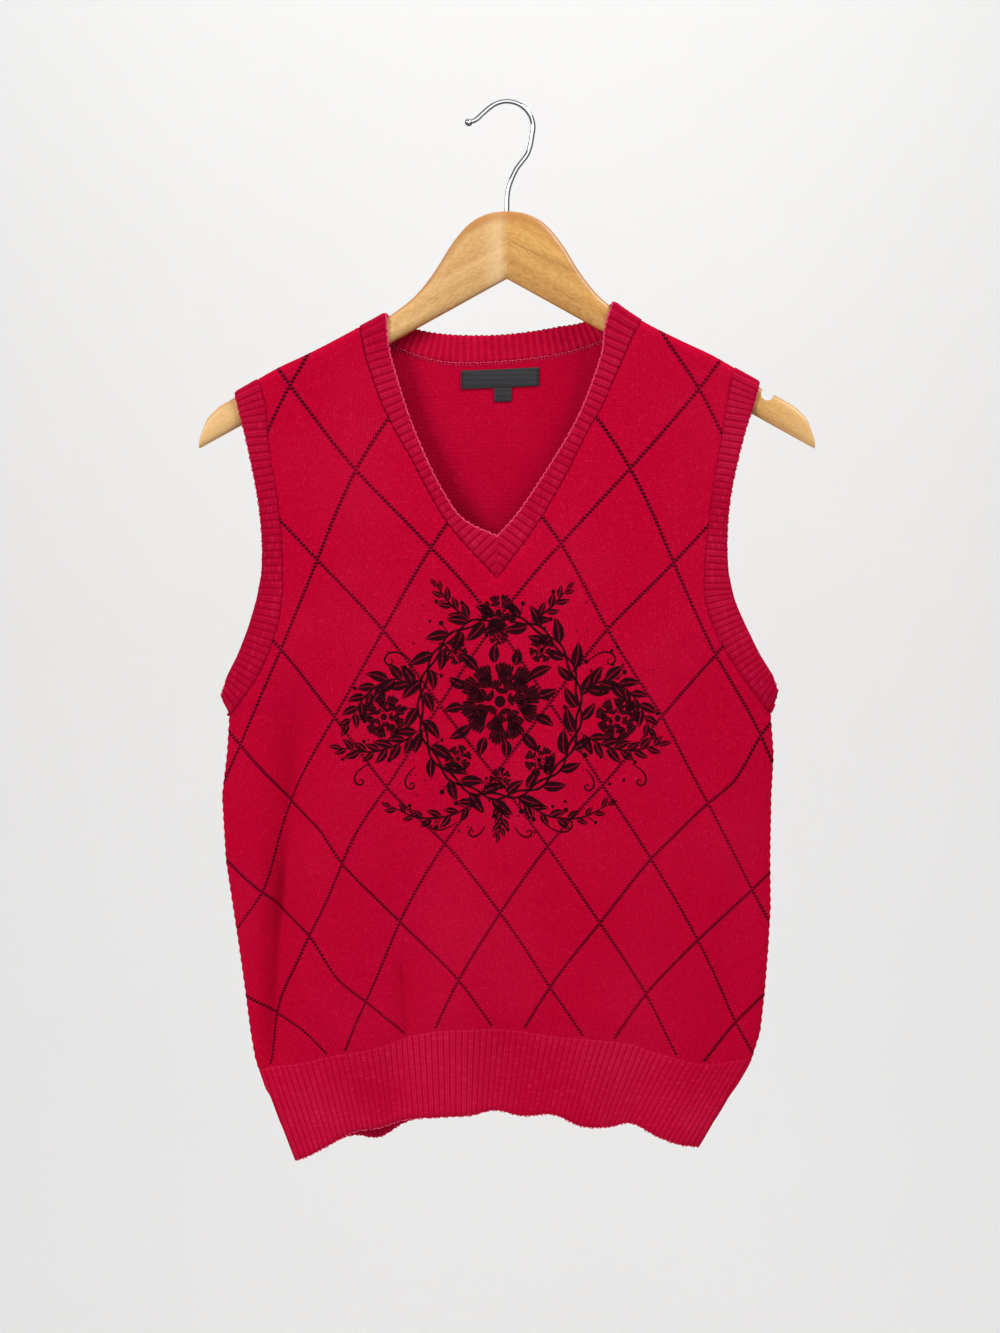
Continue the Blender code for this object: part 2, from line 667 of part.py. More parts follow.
def make_hanger_half(side, where, cutters):
    """One wooden half, lofted from the centre to the tip, with its slot and half of the bore."""
    sign = -1 if side == "left" else 1
    rings = []
    for share in crowded(HANGER_STATIONS, HANGER_TIP_CROWDING):
        x = GLUE_GAP / 2 + share * (HANGER_HALF_SPAN - GLUE_GAP / 2)
        top, bottom = (float(column(HANGER, "x", name, x)) for name in ("top", "bottom"))
        tip = float(fade(HANGER_TIP_START, HANGER_HALF_SPAN, x))
        thin = 1 - (1 - HANGER_TIP_THICKNESS_SHARE) * tip
        ring = section(x, top, bottom, HANGER_HALF_THICKNESS * thin)
        ring[:, 0] *= sign
        rings.append(ring)
    bm = bmesh.new()
    place_grid(bm, np.stack(rings), flip=side == "left")
    bmesh.ops.remove_doubles(bm, verts=bm.verts, dist=0.0001)
    bmesh.ops.holes_fill(bm, edges=[edge for edge in bm.edges if edge.is_boundary])
    bmesh.ops.recalc_face_normals(bm, faces=bm.faces)
    half = add_object(f"hanger_{side}", bm, "wood", where)
    for cutter in (slot_cutter(side, cutters), bore_cutter(side, cutters)):
        cut = half.modifiers.new(cutter.name, "BOOLEAN")
        cut.operation = "DIFFERENCE"
        cut.object = cutter


def cylinder(radius, sides):
    """A bmesh cylinder along Z for a cutter, in millimetres."""
    bm = bmesh.new()
    bmesh.ops.create_cone(
        bm, cap_ends=True, segments=sides, radius1=radius, radius2=radius, depth=CUTTER_LENGTH
    )
    return bm


def hide_cutter(cutter):
    """Keeps a cutter out of renders and shows it as wires."""
    cutter.hide_render = True
    cutter.display_type = "WIRE"
    return cutter


def slot_cutter(side, where):
    """A strap slot: a round bottom with straight walls that run up and out of the wood."""
    sign = -1 if side == "left" else 1
    bm = cylinder(SLOT_RADIUS, sides=20)
    for vert in bm.verts:
        if vert.co.y > SLOT_RADIUS / 100:
            vert.co.y += SLOT_RISE
    cutter = add_object(f"slot_cutter_{side}", bm, "wood", where)
    cutter.rotation_euler = (math.pi / 2, sign * ARM_SLOPE, 0)
    cutter.location = (sign * SLOT_X * MM, float(hanger_bend(SLOT_X)) * MM, SLOT_Z * MM)
    return hide_cutter(cutter)


def bore_cutter(side, where):
    """The bore for the hook's stem, down from the top of the wood."""
    bm = cylinder(WIRE_RADIUS + SEAM_GAP, sides=16)
    cutter = add_object(f"bore_cutter_{side}", bm, "wood", where)
    cutter.location.z = (BORE_BOTTOM + CUTTER_LENGTH / 2) * MM
    return hide_cutter(cutter)


def hook_route():
    """The wire's centre line from inside the wood up round the crown to the ball."""
    turns = np.radians(HOOK_ARC_DEGREES)
    centre_z = WIRE_RADIUS - HOOK_RADIUS
    arc = [HOOK_RADIUS * np.cos(turns), centre_z + HOOK_RADIUS * np.sin(turns)]
    return curve_through(np.vstack([HOOK_STEM, np.transpose(arc), HOOK_TAIL]), HOOK_STATIONS)


def make_hook(where):
    """The chrome wire hook with a ball on its tip."""
    route = hook_route()
    curve = bpy.data.curves.new("hook_wire", "CURVE")
    curve.dimensions = "3D"
    curve.bevel_depth = WIRE_RADIUS * MM
    curve.bevel_resolution = 2
    curve.use_fill_caps = True
    spline = curve.splines.new("POLY")
    spline.points.add(len(route) - 1)
    for point, (x, z) in zip(spline.points, route):
        point.co = (x * MM, 0, z * MM, 1)
    wire = bpy.data.objects.new("hook_wire", curve)
    where.objects.link(wire)
    graph = bpy.context.evaluated_depsgraph_get()
    bm = bmesh.new()
    bm.from_mesh(bpy.data.meshes.new_from_object(wire.evaluated_get(graph)))
    bpy.data.objects.remove(wire)
    bmesh.ops.remove_doubles(bm, verts=bm.verts, dist=0.00001)
    bmesh.ops.recalc_face_normals(bm, faces=bm.faces)
    bmesh.ops.scale(bm, vec=(1 / MM, 1 / MM, 1 / MM), verts=bm.verts)
    hook = add_object("hook", bm, "chrome", where)
    hook.data.shade_smooth()
    return hook, route[-1]


def make_ball(hook, tip, cutters):
    """Joins the ball to the end of the wire."""
    bm = bmesh.new()
    bmesh.ops.create_uvsphere(bm, u_segments=14, v_segments=9, radius=BALL_RADIUS)
    ball = add_object("hook_ball", bm, "chrome", cutters)
    ball.location = (tip[0] * MM, 0, tip[1] * MM)
    join = hook.modifiers.new("ball", "BOOLEAN")
    join.operation = "UNION"
    join.object = hide_cutter(ball)


def main():
    """Builds the vest and its hanger."""
    for obj in list(bpy.data.objects):
        bpy.data.objects.remove(obj)
    parts = collection("sweater vest on a hanger", bpy.context.scene.collection)
    cutters = collection("cutters", bpy.context.scene.collection)
    halves = make_panels(parts)
    make_neckband(halves, parts)
    for side in ("left", "right"):
        make_armband(side, halves, parts)
        make_hanger_half(side, parts, cutters)
    for face in ("front", "back"):
        make_hem(face, halves, parts)
    make_label("neck_label", LABEL, parts)
    make_label("size_tab", TAB, parts)
    hook, tip = make_hook(parts)
    make_ball(hook, tip, cutters)


main()
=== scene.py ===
"""Dresses a knitted V-neck sweater vest on a contoured wooden hanger.

Lengths are millimetres until a mesh is finished, when they become metres. +Z is up, the vest's
front faces -Y and the origin is the inside of the hook's crown. Every knitted piece is a shell that
stands outwards from one drape: an outline in (x, z) and a depth for each face.
"""

from __future__ import annotations

import logging
import math
from collections.abc import Sequence
from dataclasses import dataclass, field
from enum import Enum

import bmesh
import bpy
import numpy as np
from bpy.types import Material, Mesh, NodeSocket, Object
from mathutils import Matrix, Vector


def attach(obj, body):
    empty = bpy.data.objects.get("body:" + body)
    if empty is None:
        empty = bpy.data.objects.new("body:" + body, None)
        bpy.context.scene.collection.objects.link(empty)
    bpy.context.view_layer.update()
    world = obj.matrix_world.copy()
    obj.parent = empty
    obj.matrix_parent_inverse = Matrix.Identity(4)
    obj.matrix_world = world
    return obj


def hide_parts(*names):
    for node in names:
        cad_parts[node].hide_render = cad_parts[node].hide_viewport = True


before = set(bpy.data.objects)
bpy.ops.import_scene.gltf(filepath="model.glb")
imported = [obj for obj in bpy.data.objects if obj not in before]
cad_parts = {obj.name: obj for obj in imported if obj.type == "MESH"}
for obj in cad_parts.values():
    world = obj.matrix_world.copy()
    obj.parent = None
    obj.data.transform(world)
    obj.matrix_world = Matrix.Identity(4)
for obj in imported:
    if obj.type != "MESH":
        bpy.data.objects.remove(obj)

Array = np.ndarray

# fmt: off, since the tables and the nodes' inputs are laid out by hand

LOG = logging.getLogger("sweater_vest")

MM = 0.001
BODY = "root"
CENTRE = -7.0  # the vest hangs a little to the left of the hook
PANEL_WALL = 1.5
RIB_WALL = 2.1
RIDGE_HEIGHT = 6.0  # over which the cloth rounds up to the shoulder
FULLNESS_POWER = 3.0  # how late the section rounds in towards the sides
FOLD_FADE = 45.0  # over which a fold starts and ends
WIRE_RADIUS = 1.75
CLOTH_WELD = 0.002  # how close two sheets' points are where they are one
WELD = 0.0005


class Side(str, Enum):
    """The two sides as the front is looked at."""

    LEFT = "left"
    RIGHT = "right"


class Face(str, Enum):
    """The two faces of the vest."""

    FRONT = "front"
    BACK = "back"


FACE_SIGN = {Face.FRONT: -1.0, Face.BACK: 1.0}


def smooth(knots: Sequence[float], values: Sequence[float], at: Array) -> Array:
    """Reads a smooth curve through values over rising knots.

    Args:
        knots: Where the values stand, rising.
        values: The values there.
        at: Where to read the curve.

    Returns:
        The curve's value at each place.
    """
    knots, values = np.asarray(knots, float), np.asarray(values, float)
    slopes = np.gradient(values, knots)
    at = np.clip(at, knots[0], knots[-1])
    i = np.clip(np.searchsorted(knots, at, side="right") - 1, 0, len(knots) - 2)
    span = knots[i + 1] - knots[i]
    t = (at - knots[i]) / span
    level = values[i] * (1 + 2 * t) * (1 - t) ** 2 + values[i + 1] * t * t * (3 - 2 * t)
    return level + span * (slopes[i] * t * (1 - t) ** 2 - slopes[i + 1] * t * t * (1 - t))


def fade(start: float, end: float, at: Array) -> Array:
    """Rises smoothly from 0 at start to 1 at end."""
    t = np.clip((np.asarray(at, float) - start) / (end - start), 0, 1)
    return t * t * (3 - 2 * t)


@dataclass(frozen=True)
class Table:
    """Rows of sizes under named columns, the first of which is the key."""

    names: str  # the columns' names, divided by spaces
    rows: tuple[tuple[float, ...], ...]  # the rows, in millimetres

    def at(self, name: str, where: Array) -> Array:
        """Reads one column smoothly at each place along the key."""
        rows = np.array(sorted(self.rows), float)
        return smooth(rows[:, 0], rows[:, self.names.split().index(name)], where)

    def points(self, name: str) -> list[tuple[float, float]]:
        """The rows' (key, value) pairs for one column."""
        k = self.names.split().index(name)
        return [(row[0], row[k]) for row in self.rows]


HANGER = Table("x top bottom", (
    (0, -77.6, -126.8), (14, -79.9, -134.6), (28, -88.0, -142.5), (40, -102.5, -149.3),
    (52, -122.0, -156.0), (65, -138.8, -163.4), (78, -150.0, -170.8), (120, -173.2, -194.5),
    (180, -207.0, -228.6), (198, -216.8, -239.0), (208.5, -224.2, -245.0), (215.5, -233.6, -249.0),
    (219.5, -245.4, -251.2),
))
SHOULDER = Table("x z", (
    (-200, -214.4), (-178, -201.2), (-164, -193.0), (-142, -182.2), (-105, -162.1), (-87, -151.8),
    (-60, -131.0), (0, -76.0), (60, -128.0), (76, -143.1), (97, -158.0), (122, -171.3),
    (147, -183.6), (163, -193.0), (186, -206.3),
))
NECK = Table("z left_edge left_seam right_seam right_edge", (
    (-165, -86.3, -105.0, 92.6, 70.2), (-180, -84.5, -102.3, 85.8, 68.6),
    (-200, -79.1, -96.2, 77.0, 62.3), (-220, -73.0, -88.8, 68.2, 54.7),
    (-240, -65.6, -78.5, 56.8, 44.6), (-260, -56.9, -67.3, 47.1, 32.4),
    (-280, -46.8, -56.8, 36.4, 19.6), (-300, -33.0, -45.1, 24.6, 5.3),
))
NECK_TIP = {"edge": -313.7, "seam": -343.2}
NECK_CORNER = {
    Side.LEFT: {"edge": -86.8, "seam": -105.3},
    Side.RIGHT: {"edge": 76.2, "seam": 96.2},
}
BACK_NECK = Table("x edge seam", (
    (-64, -163.5, -182.2), (-47, -166.3, -186.2), (-25, -167.2, -186.9), (-3, -166.5, -185.7),
    (19, -164.1, -183.5), (38, -161.0, -180.6), (54, -158.3, -176.6),
))
ARMHOLE = Table("z left_edge left_seam right_seam right_edge", (
    (-220, -192.4, -173.0, 157.6, 176.2), (-240, -187.5, -171.3, 154.3, 170.0),
    (-260, -183.1, -169.2, 151.0, 165.0), (-280, -179.2, -165.5, 147.5, 160.8),
    (-300, -176.4, -162.6, 145.0, 158.3), (-320, -175.0, -161.0, 142.9, 157.5),
    (-340, -175.4, -160.4, 141.5, 158.4), (-360, -179.0, -160.9, 142.2, 162.8),
    (-380, -184.9, -164.7, 148.5, 171.4), (-400, -192.8, -171.3, 159.1, 181.4),
    (-415, -200.4, -178.8, 169.1, 190.7),
))
ARM_CORNER = {
    Side.LEFT: {"edge": -194.2, "seam": -178.0},
    Side.RIGHT: {"edge": 180.4, "seam": 162.4},
}
UNDERARM = {
    Side.LEFT: {"edge": (-205.2, -428.5), "seam": (-198.4, -442.6)},
    Side.RIGHT: {"edge": (194.6, -425.0), "seam": (188.2, -440.0)},
}
SIDES = Table("z left right", (
    (-441, -199.4, 189.6), (-470, -201.4, 191.9), (-500, -205.0, 190.4), (-546, -202.5, 189.8),
    (-580, -197.5, 190.2), (-610, -193.0, 188.5), (-640, -188.8, 186.1), (-670, -185.0, 182.8),
    (-690, -181.6, 176.5), (-705, -176.3, 167.4), (-720, -169.6, 158.4), (-740, -161.8, 146.4),
    (-765, -151.5, 131.6),
))
# half the vest's depth in the middle of each face and at its outer edge
SECTIONS = Table("z front back edge", (
    (-60, 7.0, 7.0, 7.0), (-250, 7.8, 7.4, 7.0), (-300, 11.0, 8.5, 6.4), (-343, 14.0, 10.0, 5.2),
    (-400, 16.5, 11.0, 3.4), (-428, 17.2, 11.4, 0.0), (-560, 18.0, 12.0, 0.0),
    (-640, 15.0, 11.0, 0.0), (-690, 11.0, 9.5, 0.0), (-770, 9.5, 8.5, 0.0),
))
HEM = Table("x top front back", (
    (-182, -696.5, -766.0, -765.0), (-150, -692.0, -762.0, -759.5), (-130, -687.0, -752.0, -752.8),
    (-111, -683.6, -741.6, -746.2), (-92, -680.0, -738.6, -747.4), (-74, -673.4, -732.8, -737.4),
    (-48, -668.2, -730.6, -734.0), (-25, -667.4, -729.2, -732.8), (-9, -667.0, -726.3, -727.6),
    (10, -668.6, -730.0, -726.4), (35, -672.4, -729.2, -726.8), (52, -673.8, -737.0, -729.0),
    (74, -675.4, -738.0, -733.6), (88, -677.2, -735.0, -734.2), (108, -684.0, -744.6, -739.4),
    (121, -687.8, -749.8, -745.6), (140, -692.4, -753.0, -751.4), (180, -688.0, -757.0, -756.0),
))
HEM_TOP_CORNER = {Side.LEFT: (-179.8, -697.3), Side.RIGHT: (176.8, -689.0)}
HEM_BOTTOM_CORNER = {Side.LEFT: (-152.6, -763.0), Side.RIGHT: (138.6, -753.0)}


@dataclass(frozen=True)
class Fold:
    """A soft trough or ridge pressed into one face."""

    top: tuple[float, float]  # the (x, z) of its upper end
    bottom: tuple[float, float]  # the (x, z) of its lower end
    width: float  # how far its slopes reach on each side
    depth: float  # how deep it is, or less than 0 for a ridge
    fade: float = FOLD_FADE  # over how much height it starts and ends


FOLDS = {
    Face.FRONT: (
        Fold((-157, -425), (-169, -690), 15, 5.0),
        Fold((-80, -600), (-75, -700), 11, 2.6),
        Fold((134, -430), (138, -600), 18, 3.0),
        Fold((-24, -560), (-34, -700), 20, -2.0),
        Fold((70, -520), (84, -700), 22, -2.4),
        # creases, and the deep part of the lower left trough, that the solid leaves out
        Fold((-76, -618), (-72, -676), 4, 3.6, 14),
        Fold((-86, -622), (-84, -684), 7, -1.6, 16),
        Fold((-146, -640), (-112, -680), 11, -1.6, 14),
        Fold((-162, -548), (-171, -705), 10, 17.0, 30),
        Fold((-149, -452), (-155, -538), 14, 9.0, 42),
        Fold((-150, -560), (-158, -700), 8, 3.0, 30),
        Fold((-150, -430), (-162, -580), 12, 5.0, 50),
        Fold((168, -540), (158, -690), 15, 6.0, 45),
        Fold((-128, -215), (-150, -330), 9, 0.9, 40),
        Fold((-110, -220), (-126, -330), 9, -0.9, 40),
        Fold((112, -640), (150, -690), 8, -0.9, 16),
        Fold((20, -640), (26, -690), 9, -0.7, 16),
        Fold((-186, -350), (-150, -470), 10, -0.9, 25),
        Fold((150, -400), (172, -520), 9, 0.8, 25),
    ),
    Face.BACK: (
        Fold((-140, -420), (-152, -690), 17, 4.0),
        Fold((120, -440), (128, -700), 16, 4.2),
        Fold((36, -480), (30, -690), 20, 2.4),
        Fold((-58, -500), (-64, -680), 24, -2.2),
        # creases that the solid leaves out
        Fold((-110, -640), (-128, -690), 8, -1.0, 16),
        Fold((70, -630), (82, -690), 8, 0.9, 16),
        Fold((165, -400), (140, -520), 10, -0.9, 25),
    ),
}


def curve_through(points: Sequence[Sequence[float]], samples: int = 400) -> Array:
    """A finely sampled smooth curve through points, by their distance along the chords."""
    points = np.asarray(points, float)
    knots = lengths(points)
    at = np.linspace(0, knots[-1], samples)
    return np.column_stack([smooth(knots, points[:, k], at) for k in range(points.shape[1])])


def lengths(points: Array) -> Array:
    """The distance along a polyline at each of its points."""
    steps = np.linalg.norm(np.diff(points, axis=0), axis=1)
    return np.concatenate([[0], np.cumsum(steps)])


def pick(points: Array, shares: Array) -> Array:
    """Points on a polyline at the given shares of its length."""
    along = lengths(points)
    at = np.asarray(shares, float) * along[-1]
    return np.column_stack([np.interp(at, along, points[:, k]) for k in range(points.shape[1])])


def crowded(count: int, crowding: float) -> Array:
    """Shares from 0 to 1 that stand closer towards 1."""
    return 1 - (1 - np.linspace(0, 1, count + 1)) ** crowding


@dataclass
class Drape:
    """How the vest hangs: its outlines in (x, z) and the depth of each face."""

    hanger_span: float = 219.5  # half of the hanger's span
    hanger_bend: float = 25.0  # how far the hanger's tips reach forward of its centre
    hem_bend_share: float = 0.4  # the share of that bend which is left at the hem
    blouse: float = 0.9  # how far the body stands out over the tighter hem rib
    blouse_height: float = 15.0  # how high that bulge is
    hem_wave: float = 2.2  # how far the hem waves in and out
    hem_wave_length: float = 83.0  # the distance from one wave of the hem to the next
    unevenness: float = 0.25  # how far the body's cloth strays from a smooth surface

    def bend(self, x: Array) -> Array:
        """The y of the hanger's middle at x."""
        return -self.hanger_bend * (np.abs(x) / self.hanger_span) ** 1.25

    def ridge(self, x: Array) -> Array:
        """The height of the shoulder's inside at x."""
        return SHOULDER.at("z", x) - PANEL_WALL

    def silhouette(self, z: Array, side: Side) -> Array:
        """Reads the outline, inside the wall.

        Args:
            z: The heights.
            side: Which side's outline.

        Returns:
            The outline's x at each height.
        """
        corner, under = ARM_CORNER[side]["edge"], UNDERARM[side]["edge"]
        points = [(float(self.ridge(corner)), corner), (under[1], under[0])]
        points += ARMHOLE.points(f"{side.value}_edge") + SIDES.points(side.value)
        heights, xs = zip(*sorted(points))
        return np.interp(z, heights, xs) + (PANEL_WALL if side is Side.LEFT else -PANEL_WALL)

    def pressed(self, x: Array, z: Array, face: Face) -> Array:
        """Works out how far the folds press one face in.

        Args:
            x: The places' x.
            z: Their heights.
            face: The face.

        Returns:
            The depth at each place, less than 0 where the cloth stands out.
        """
        total = np.zeros(np.broadcast(x, z).shape)
        for fold in FOLDS[face]:
            along = (z - fold.top[1]) / (fold.bottom[1] - fold.top[1])
            middle = fold.top[0] + along * (fold.bottom[0] - fold.top[0])
            across = np.exp(-(((x - middle) / fold.width) ** 2))
            starts = fade(fold.top[1] + fold.fade, fold.top[1] - fold.fade, z)
            ends = fade(fold.bottom[1] - fold.fade, fold.bottom[1] + fold.fade, z)
            total = total + fold.depth * across * starts * ends
        uneven = np.sin(x / 17.0 + z / 61.0) * np.sin(z / 43.0 - x / 71.0)
        wave = np.sin(2 * math.pi * (x + 30) / self.hem_wave_length) * fade(-660, -750, z)
        above_hem = (z - HEM.at("top", x)) / self.blouse_height
        blouse = self.blouse * np.exp(-((above_hem - 0.8) ** 2)) * (above_hem > -3)
        total = total + self.hem_wave * wave
        return total + self.unevenness * uneven * fade(-300, -420, z) - blouse

    def depth(self, x: Array, z: Array, face: Face) -> Array:
        """Works out where the cloth is between front and back.

        Args:
            x: The places' x.
            z: Their heights.
            face: The face that they are on.

        Returns:
            The y of the cloth's inside at each place.
        """
        x, z = np.asarray(x, float), np.asarray(z, float)
        left, right = self.silhouette(z, Side.LEFT), self.silhouette(z, Side.RIGHT)
        across = np.clip((2 * x - left - right) / (right - left), -1, 1)
        edge = np.maximum(SECTIONS.at("edge", z), 0)
        middle = SECTIONS.at(face.value, z)
        bulge = np.sqrt(1 - np.abs(across) ** FULLNESS_POWER)
        half = edge + (middle - edge) * bulge
        below = np.clip((self.ridge(x) - z) / RIDGE_HEIGHT, 0, 1)
        half = half * np.sqrt(1 - (1 - below) ** 2)
        relaxed = 1 - (1 - self.hem_bend_share) * fade(-260, -620, z)
        out = half - self.pressed(x, z, face) * bulge
        return self.bend(x) * relaxed + FACE_SIGN[face] * out

    def on_face(self, xz: Array, face: Face) -> Array:
        """Adds the y of one face to an array of (x, z) points."""
        xz = np.asarray(xz, float)
        y = self.depth(xz[..., 0], xz[..., 1], face)
        return np.stack([xz[..., 0], y, xz[..., 1]], axis=-1)

    def neck(self, side: Side, which: str) -> Array:
        """One side of the V's "edge" or "seam", from the shoulder to the tip."""
        top = NECK_CORNER[side][which]
        points = [(top, float(self.ridge(top)))]
        points += [(x, z) for z, x in NECK.points(f"{side.value}_{which}")]
        return curve_through(points + [(CENTRE, NECK_TIP[which])])

    def back_neck(self, which: str) -> Array:
        """The back neck's "edge" or "seam", from the left shoulder to the right one."""
        left, right = (NECK_CORNER[side][which] for side in Side)
        points = [(left, float(self.ridge(left)))] + BACK_NECK.points(which)
        return curve_through(points + [(right, float(self.ridge(right)))])

    def arm(self, side: Side, which: str) -> Array:
        """One armhole's "edge" or "seam", from the shoulder to the underarm."""
        top = ARM_CORNER[side][which]
        points = [(top, float(self.ridge(top)))]
        points += [(x, z) for z, x in ARMHOLE.points(f"{side.value}_{which}")]
        return curve_through(points + [UNDERARM[side][which]])

    def shoulder(self, side: Side) -> Array:
        """The inside of the shoulder from the neck seam to the armhole seam."""
        xs = np.linspace(NECK_CORNER[side]["seam"], ARM_CORNER[side]["seam"], 90)
        return np.column_stack([xs, self.ridge(xs)])

    def flank(self, side: Side) -> Array:
        """The side seam from the underarm to the hem rib."""
        heights = np.linspace(UNDERARM[side]["seam"][1], HEM_TOP_CORNER[side][1], 90)
        return np.column_stack([self.silhouette(heights, side), heights])

    def hem_top(self, side: Side) -> Array:
        """The line where the hem rib starts, from the centre to the side seam."""
        corner = HEM_TOP_CORNER[side]
        xs = np.linspace(CENTRE, corner[0] - math.copysign(12, corner[0]), 90)
        return np.vstack([np.column_stack([xs, HEM.at("top", xs)]), corner])


# where the diamonds' lines cross, half a diamond across and up to each step
CROSSINGS = Table("across up x z", (
    (-3, 7, -155.2, -206.1), (3, 7, 137.5, -208.4), (-2, 6, -108.4, -266.5), (2, 6, 88.4, -265.2),
    (-3, 5, -135.5, -331.0), (-1, 5, -54.6, -322.0), (1, 5, 38.9, -319.0), (3, 5, 119.2, -332.8),
    (-4, 4, -161.4, -394.8), (-2, 4, -88.5, -381.1), (2, 4, 72.0, -380.4), (4, 4, 149.1, -398.7),
    (-5, 3, -190.5, -463.2), (-3, 3, -123.3, -443.1), (3, 3, 110.6, -442.6), (5, 3, 181.3, -456.4),
    (-4, 2, -155.2, -503.0), (-2, 2, -86.0, -493.3), (2, 2, 68.4, -491.9), (4, 2, 144.0, -504.8),
    (-5, 1, -176.3, -568.9), (-3, 1, -117.9, -548.1), (-1, 1, -44.5, -533.5), (1, 1, 29.0, -535.8),
    (3, 1, 102.8, -544.6), (5, 1, 175.9, -567.1), (-4, 0, -141.2, -599.8), (-2, 0, -76.7, -589.6),
    (0, 0, -5.0, -583.6), (2, 0, 66.6, -590.4), (4, 0, 136.5, -603.0), (-5, -1, -165.4, -656.7),
    (-3, -1, -101.2, -647.1), (-1, -1, -34.6, -631.6), (1, -1, 30.8, -637.0), (3, -1, 99.5, -641.5),
    (5, -1, 164.3, -662.5),
    # places on a line between two crossings, where a fold bends it
    (-3.43, 1.43, -134.1, -523.4), (-3.48, -0.52, -120.6, -631.6), (4.52, 2.48, 163.4, -489.7),
    (-5.5, -1.5, -168.9, -686.1), (-4.65, -1.35, -147.7, -666.6), (-4.24, -1.76, -129.9, -684.2),
    (-5.5, -0.5, -191.4, -640.2),
))


@dataclass
class Lattice:
    """The knit's own coordinates: wales across and courses up, read by every knit finish.

    On the front they bend smoothly so that each crossing of the diamonds falls in its place. Half
    a diamond is 26 wales wide and 52 courses high: 1.4 and 0.95 mm, near a fine jersey's gauge.
    """

    half: int = 26  # how many wales wide half a diamond is
    wale: float = 1.385  # the width of a wale
    course: float = 0.96  # the height of a course
    reach: float = 100.0  # the length that the bent plate is worked out in
    slack: float = 0.0005  # how loosely the plate passes through the crossings

    def sway(self, x: Array, z: Array) -> Array:
        """Works out the terms of a thin bent plate.

        Args:
            x: The places' x, as a share of reach.
            z: Their heights, likewise.

        Returns:
            A term for each crossing, and a plane's three, at each place.
        """
        table = np.array(CROSSINGS.rows) / self.reach
        gap = (x[..., None] - table[:, 2]) ** 2 + (z[..., None] - table[:, 3]) ** 2
        bends = 0.5 * gap * np.log(np.maximum(gap, 1e-12))
        return np.concatenate([bends, np.stack([np.ones_like(x), x, z], axis=-1)], axis=-1)

    def weights(self) -> Array:
        """How much of each term makes the plate pass through every crossing."""
        table = np.array(CROSSINGS.rows, float)
        terms = self.sway(table[:, 2] / self.reach, table[:, 3] / self.reach)
        count = len(table)
        matrix = np.vstack([terms, np.hstack([terms[:, count:].T, np.zeros((3, 3))])])
        matrix[:count, :count] += self.slack * np.eye(count)
        return np.linalg.solve(matrix, np.vstack([table[:, :2], np.zeros((3, 2))]))

    def __call__(self, points: Array, face: Face) -> Array:
        """The (wale, course) of each (x, y, z) point.

        Args:
            points: Points on the vest.
            face: The face that they lie on.

        Returns:
            An array like points, with two values each.
        """
        x, z = points[..., 0], points[..., 2]
        if face is Face.BACK:
            return np.stack([x / self.wale, z / self.course], axis=-1)
        steps = self.sway(x / self.reach, z / self.reach) @ self.weights()
        return steps * np.array([self.half, 2 * self.half])


@dataclass
class Sheet:
    """One grid of cloth."""

    points: Array  # rows and columns of (x, y, z) on the cloth's inside
    knit: Array  # the (wale, course) of each point
    face: Face  # the face of the vest that it is on
    thick: Array  # how thick it is at each point, as a share of the wall
    # the row that runs on into the next piece without a groove, if there is one
    flush: int | None = None


def linear(colour: str) -> tuple[float, float, float, float]:
    """Turns an sRGB hex colour into a linear one with an alpha of 1."""
    channels = [int(colour[k : k + 2], 16) / 255 for k in (1, 3, 5)]
    return (*[c / 12.92 if c <= 0.04045 else ((c + 0.055) / 1.055) ** 2.4 for c in channels], 1)


def finish_object(name: str, bm: bmesh.types.BMesh, *materials: Material) -> Object:
    """Turns a bmesh in millimetres into a smooth-shaded object in metres.

    Args:
        name: The object's name.
        bm: Its mesh.
        materials: Its materials.

    Returns:
        The object, in the scene.
    """
    mesh = bpy.data.meshes.new(name)
    bmesh.ops.scale(bm, vec=(MM, MM, MM), verts=bm.verts)
    bm.to_mesh(mesh)
    bm.free()
    mesh.shade_smooth()
    for material in materials:
        mesh.materials.append(material)
    obj = bpy.data.objects.new(name, mesh)
    bpy.context.scene.collection.objects.link(obj)
    return obj


def place_grid(bm: bmesh.types.BMesh, points: Array, flip: bool = False) -> list[list]:
    """Adds a grid of faces whose vertices lie at the given points.

    Args:
        bm: The mesh to add to.
        points: Rows and columns of (x, y, z).
        flip: Whether the faces turn over.

    Returns:
        The vertices by row and column.
    """
    rows, columns = points.shape[:2]
    made = bmesh.ops.create_grid(bm, x_segments=columns - 1, y_segments=rows - 1, size=0.5)["verts"]
    grid: list[list] = [[None] * columns for _ in range(rows)]
    for vert in made:
        i, j = round((vert.co.y + 0.5) * (rows - 1)), round((vert.co.x + 0.5) * (columns - 1))
        grid[i][j] = vert
        vert.co = points[i, j]
    if flip:
        bmesh.ops.reverse_faces(bm, faces=list({face for vert in made for face in vert.link_faces}))
    return grid


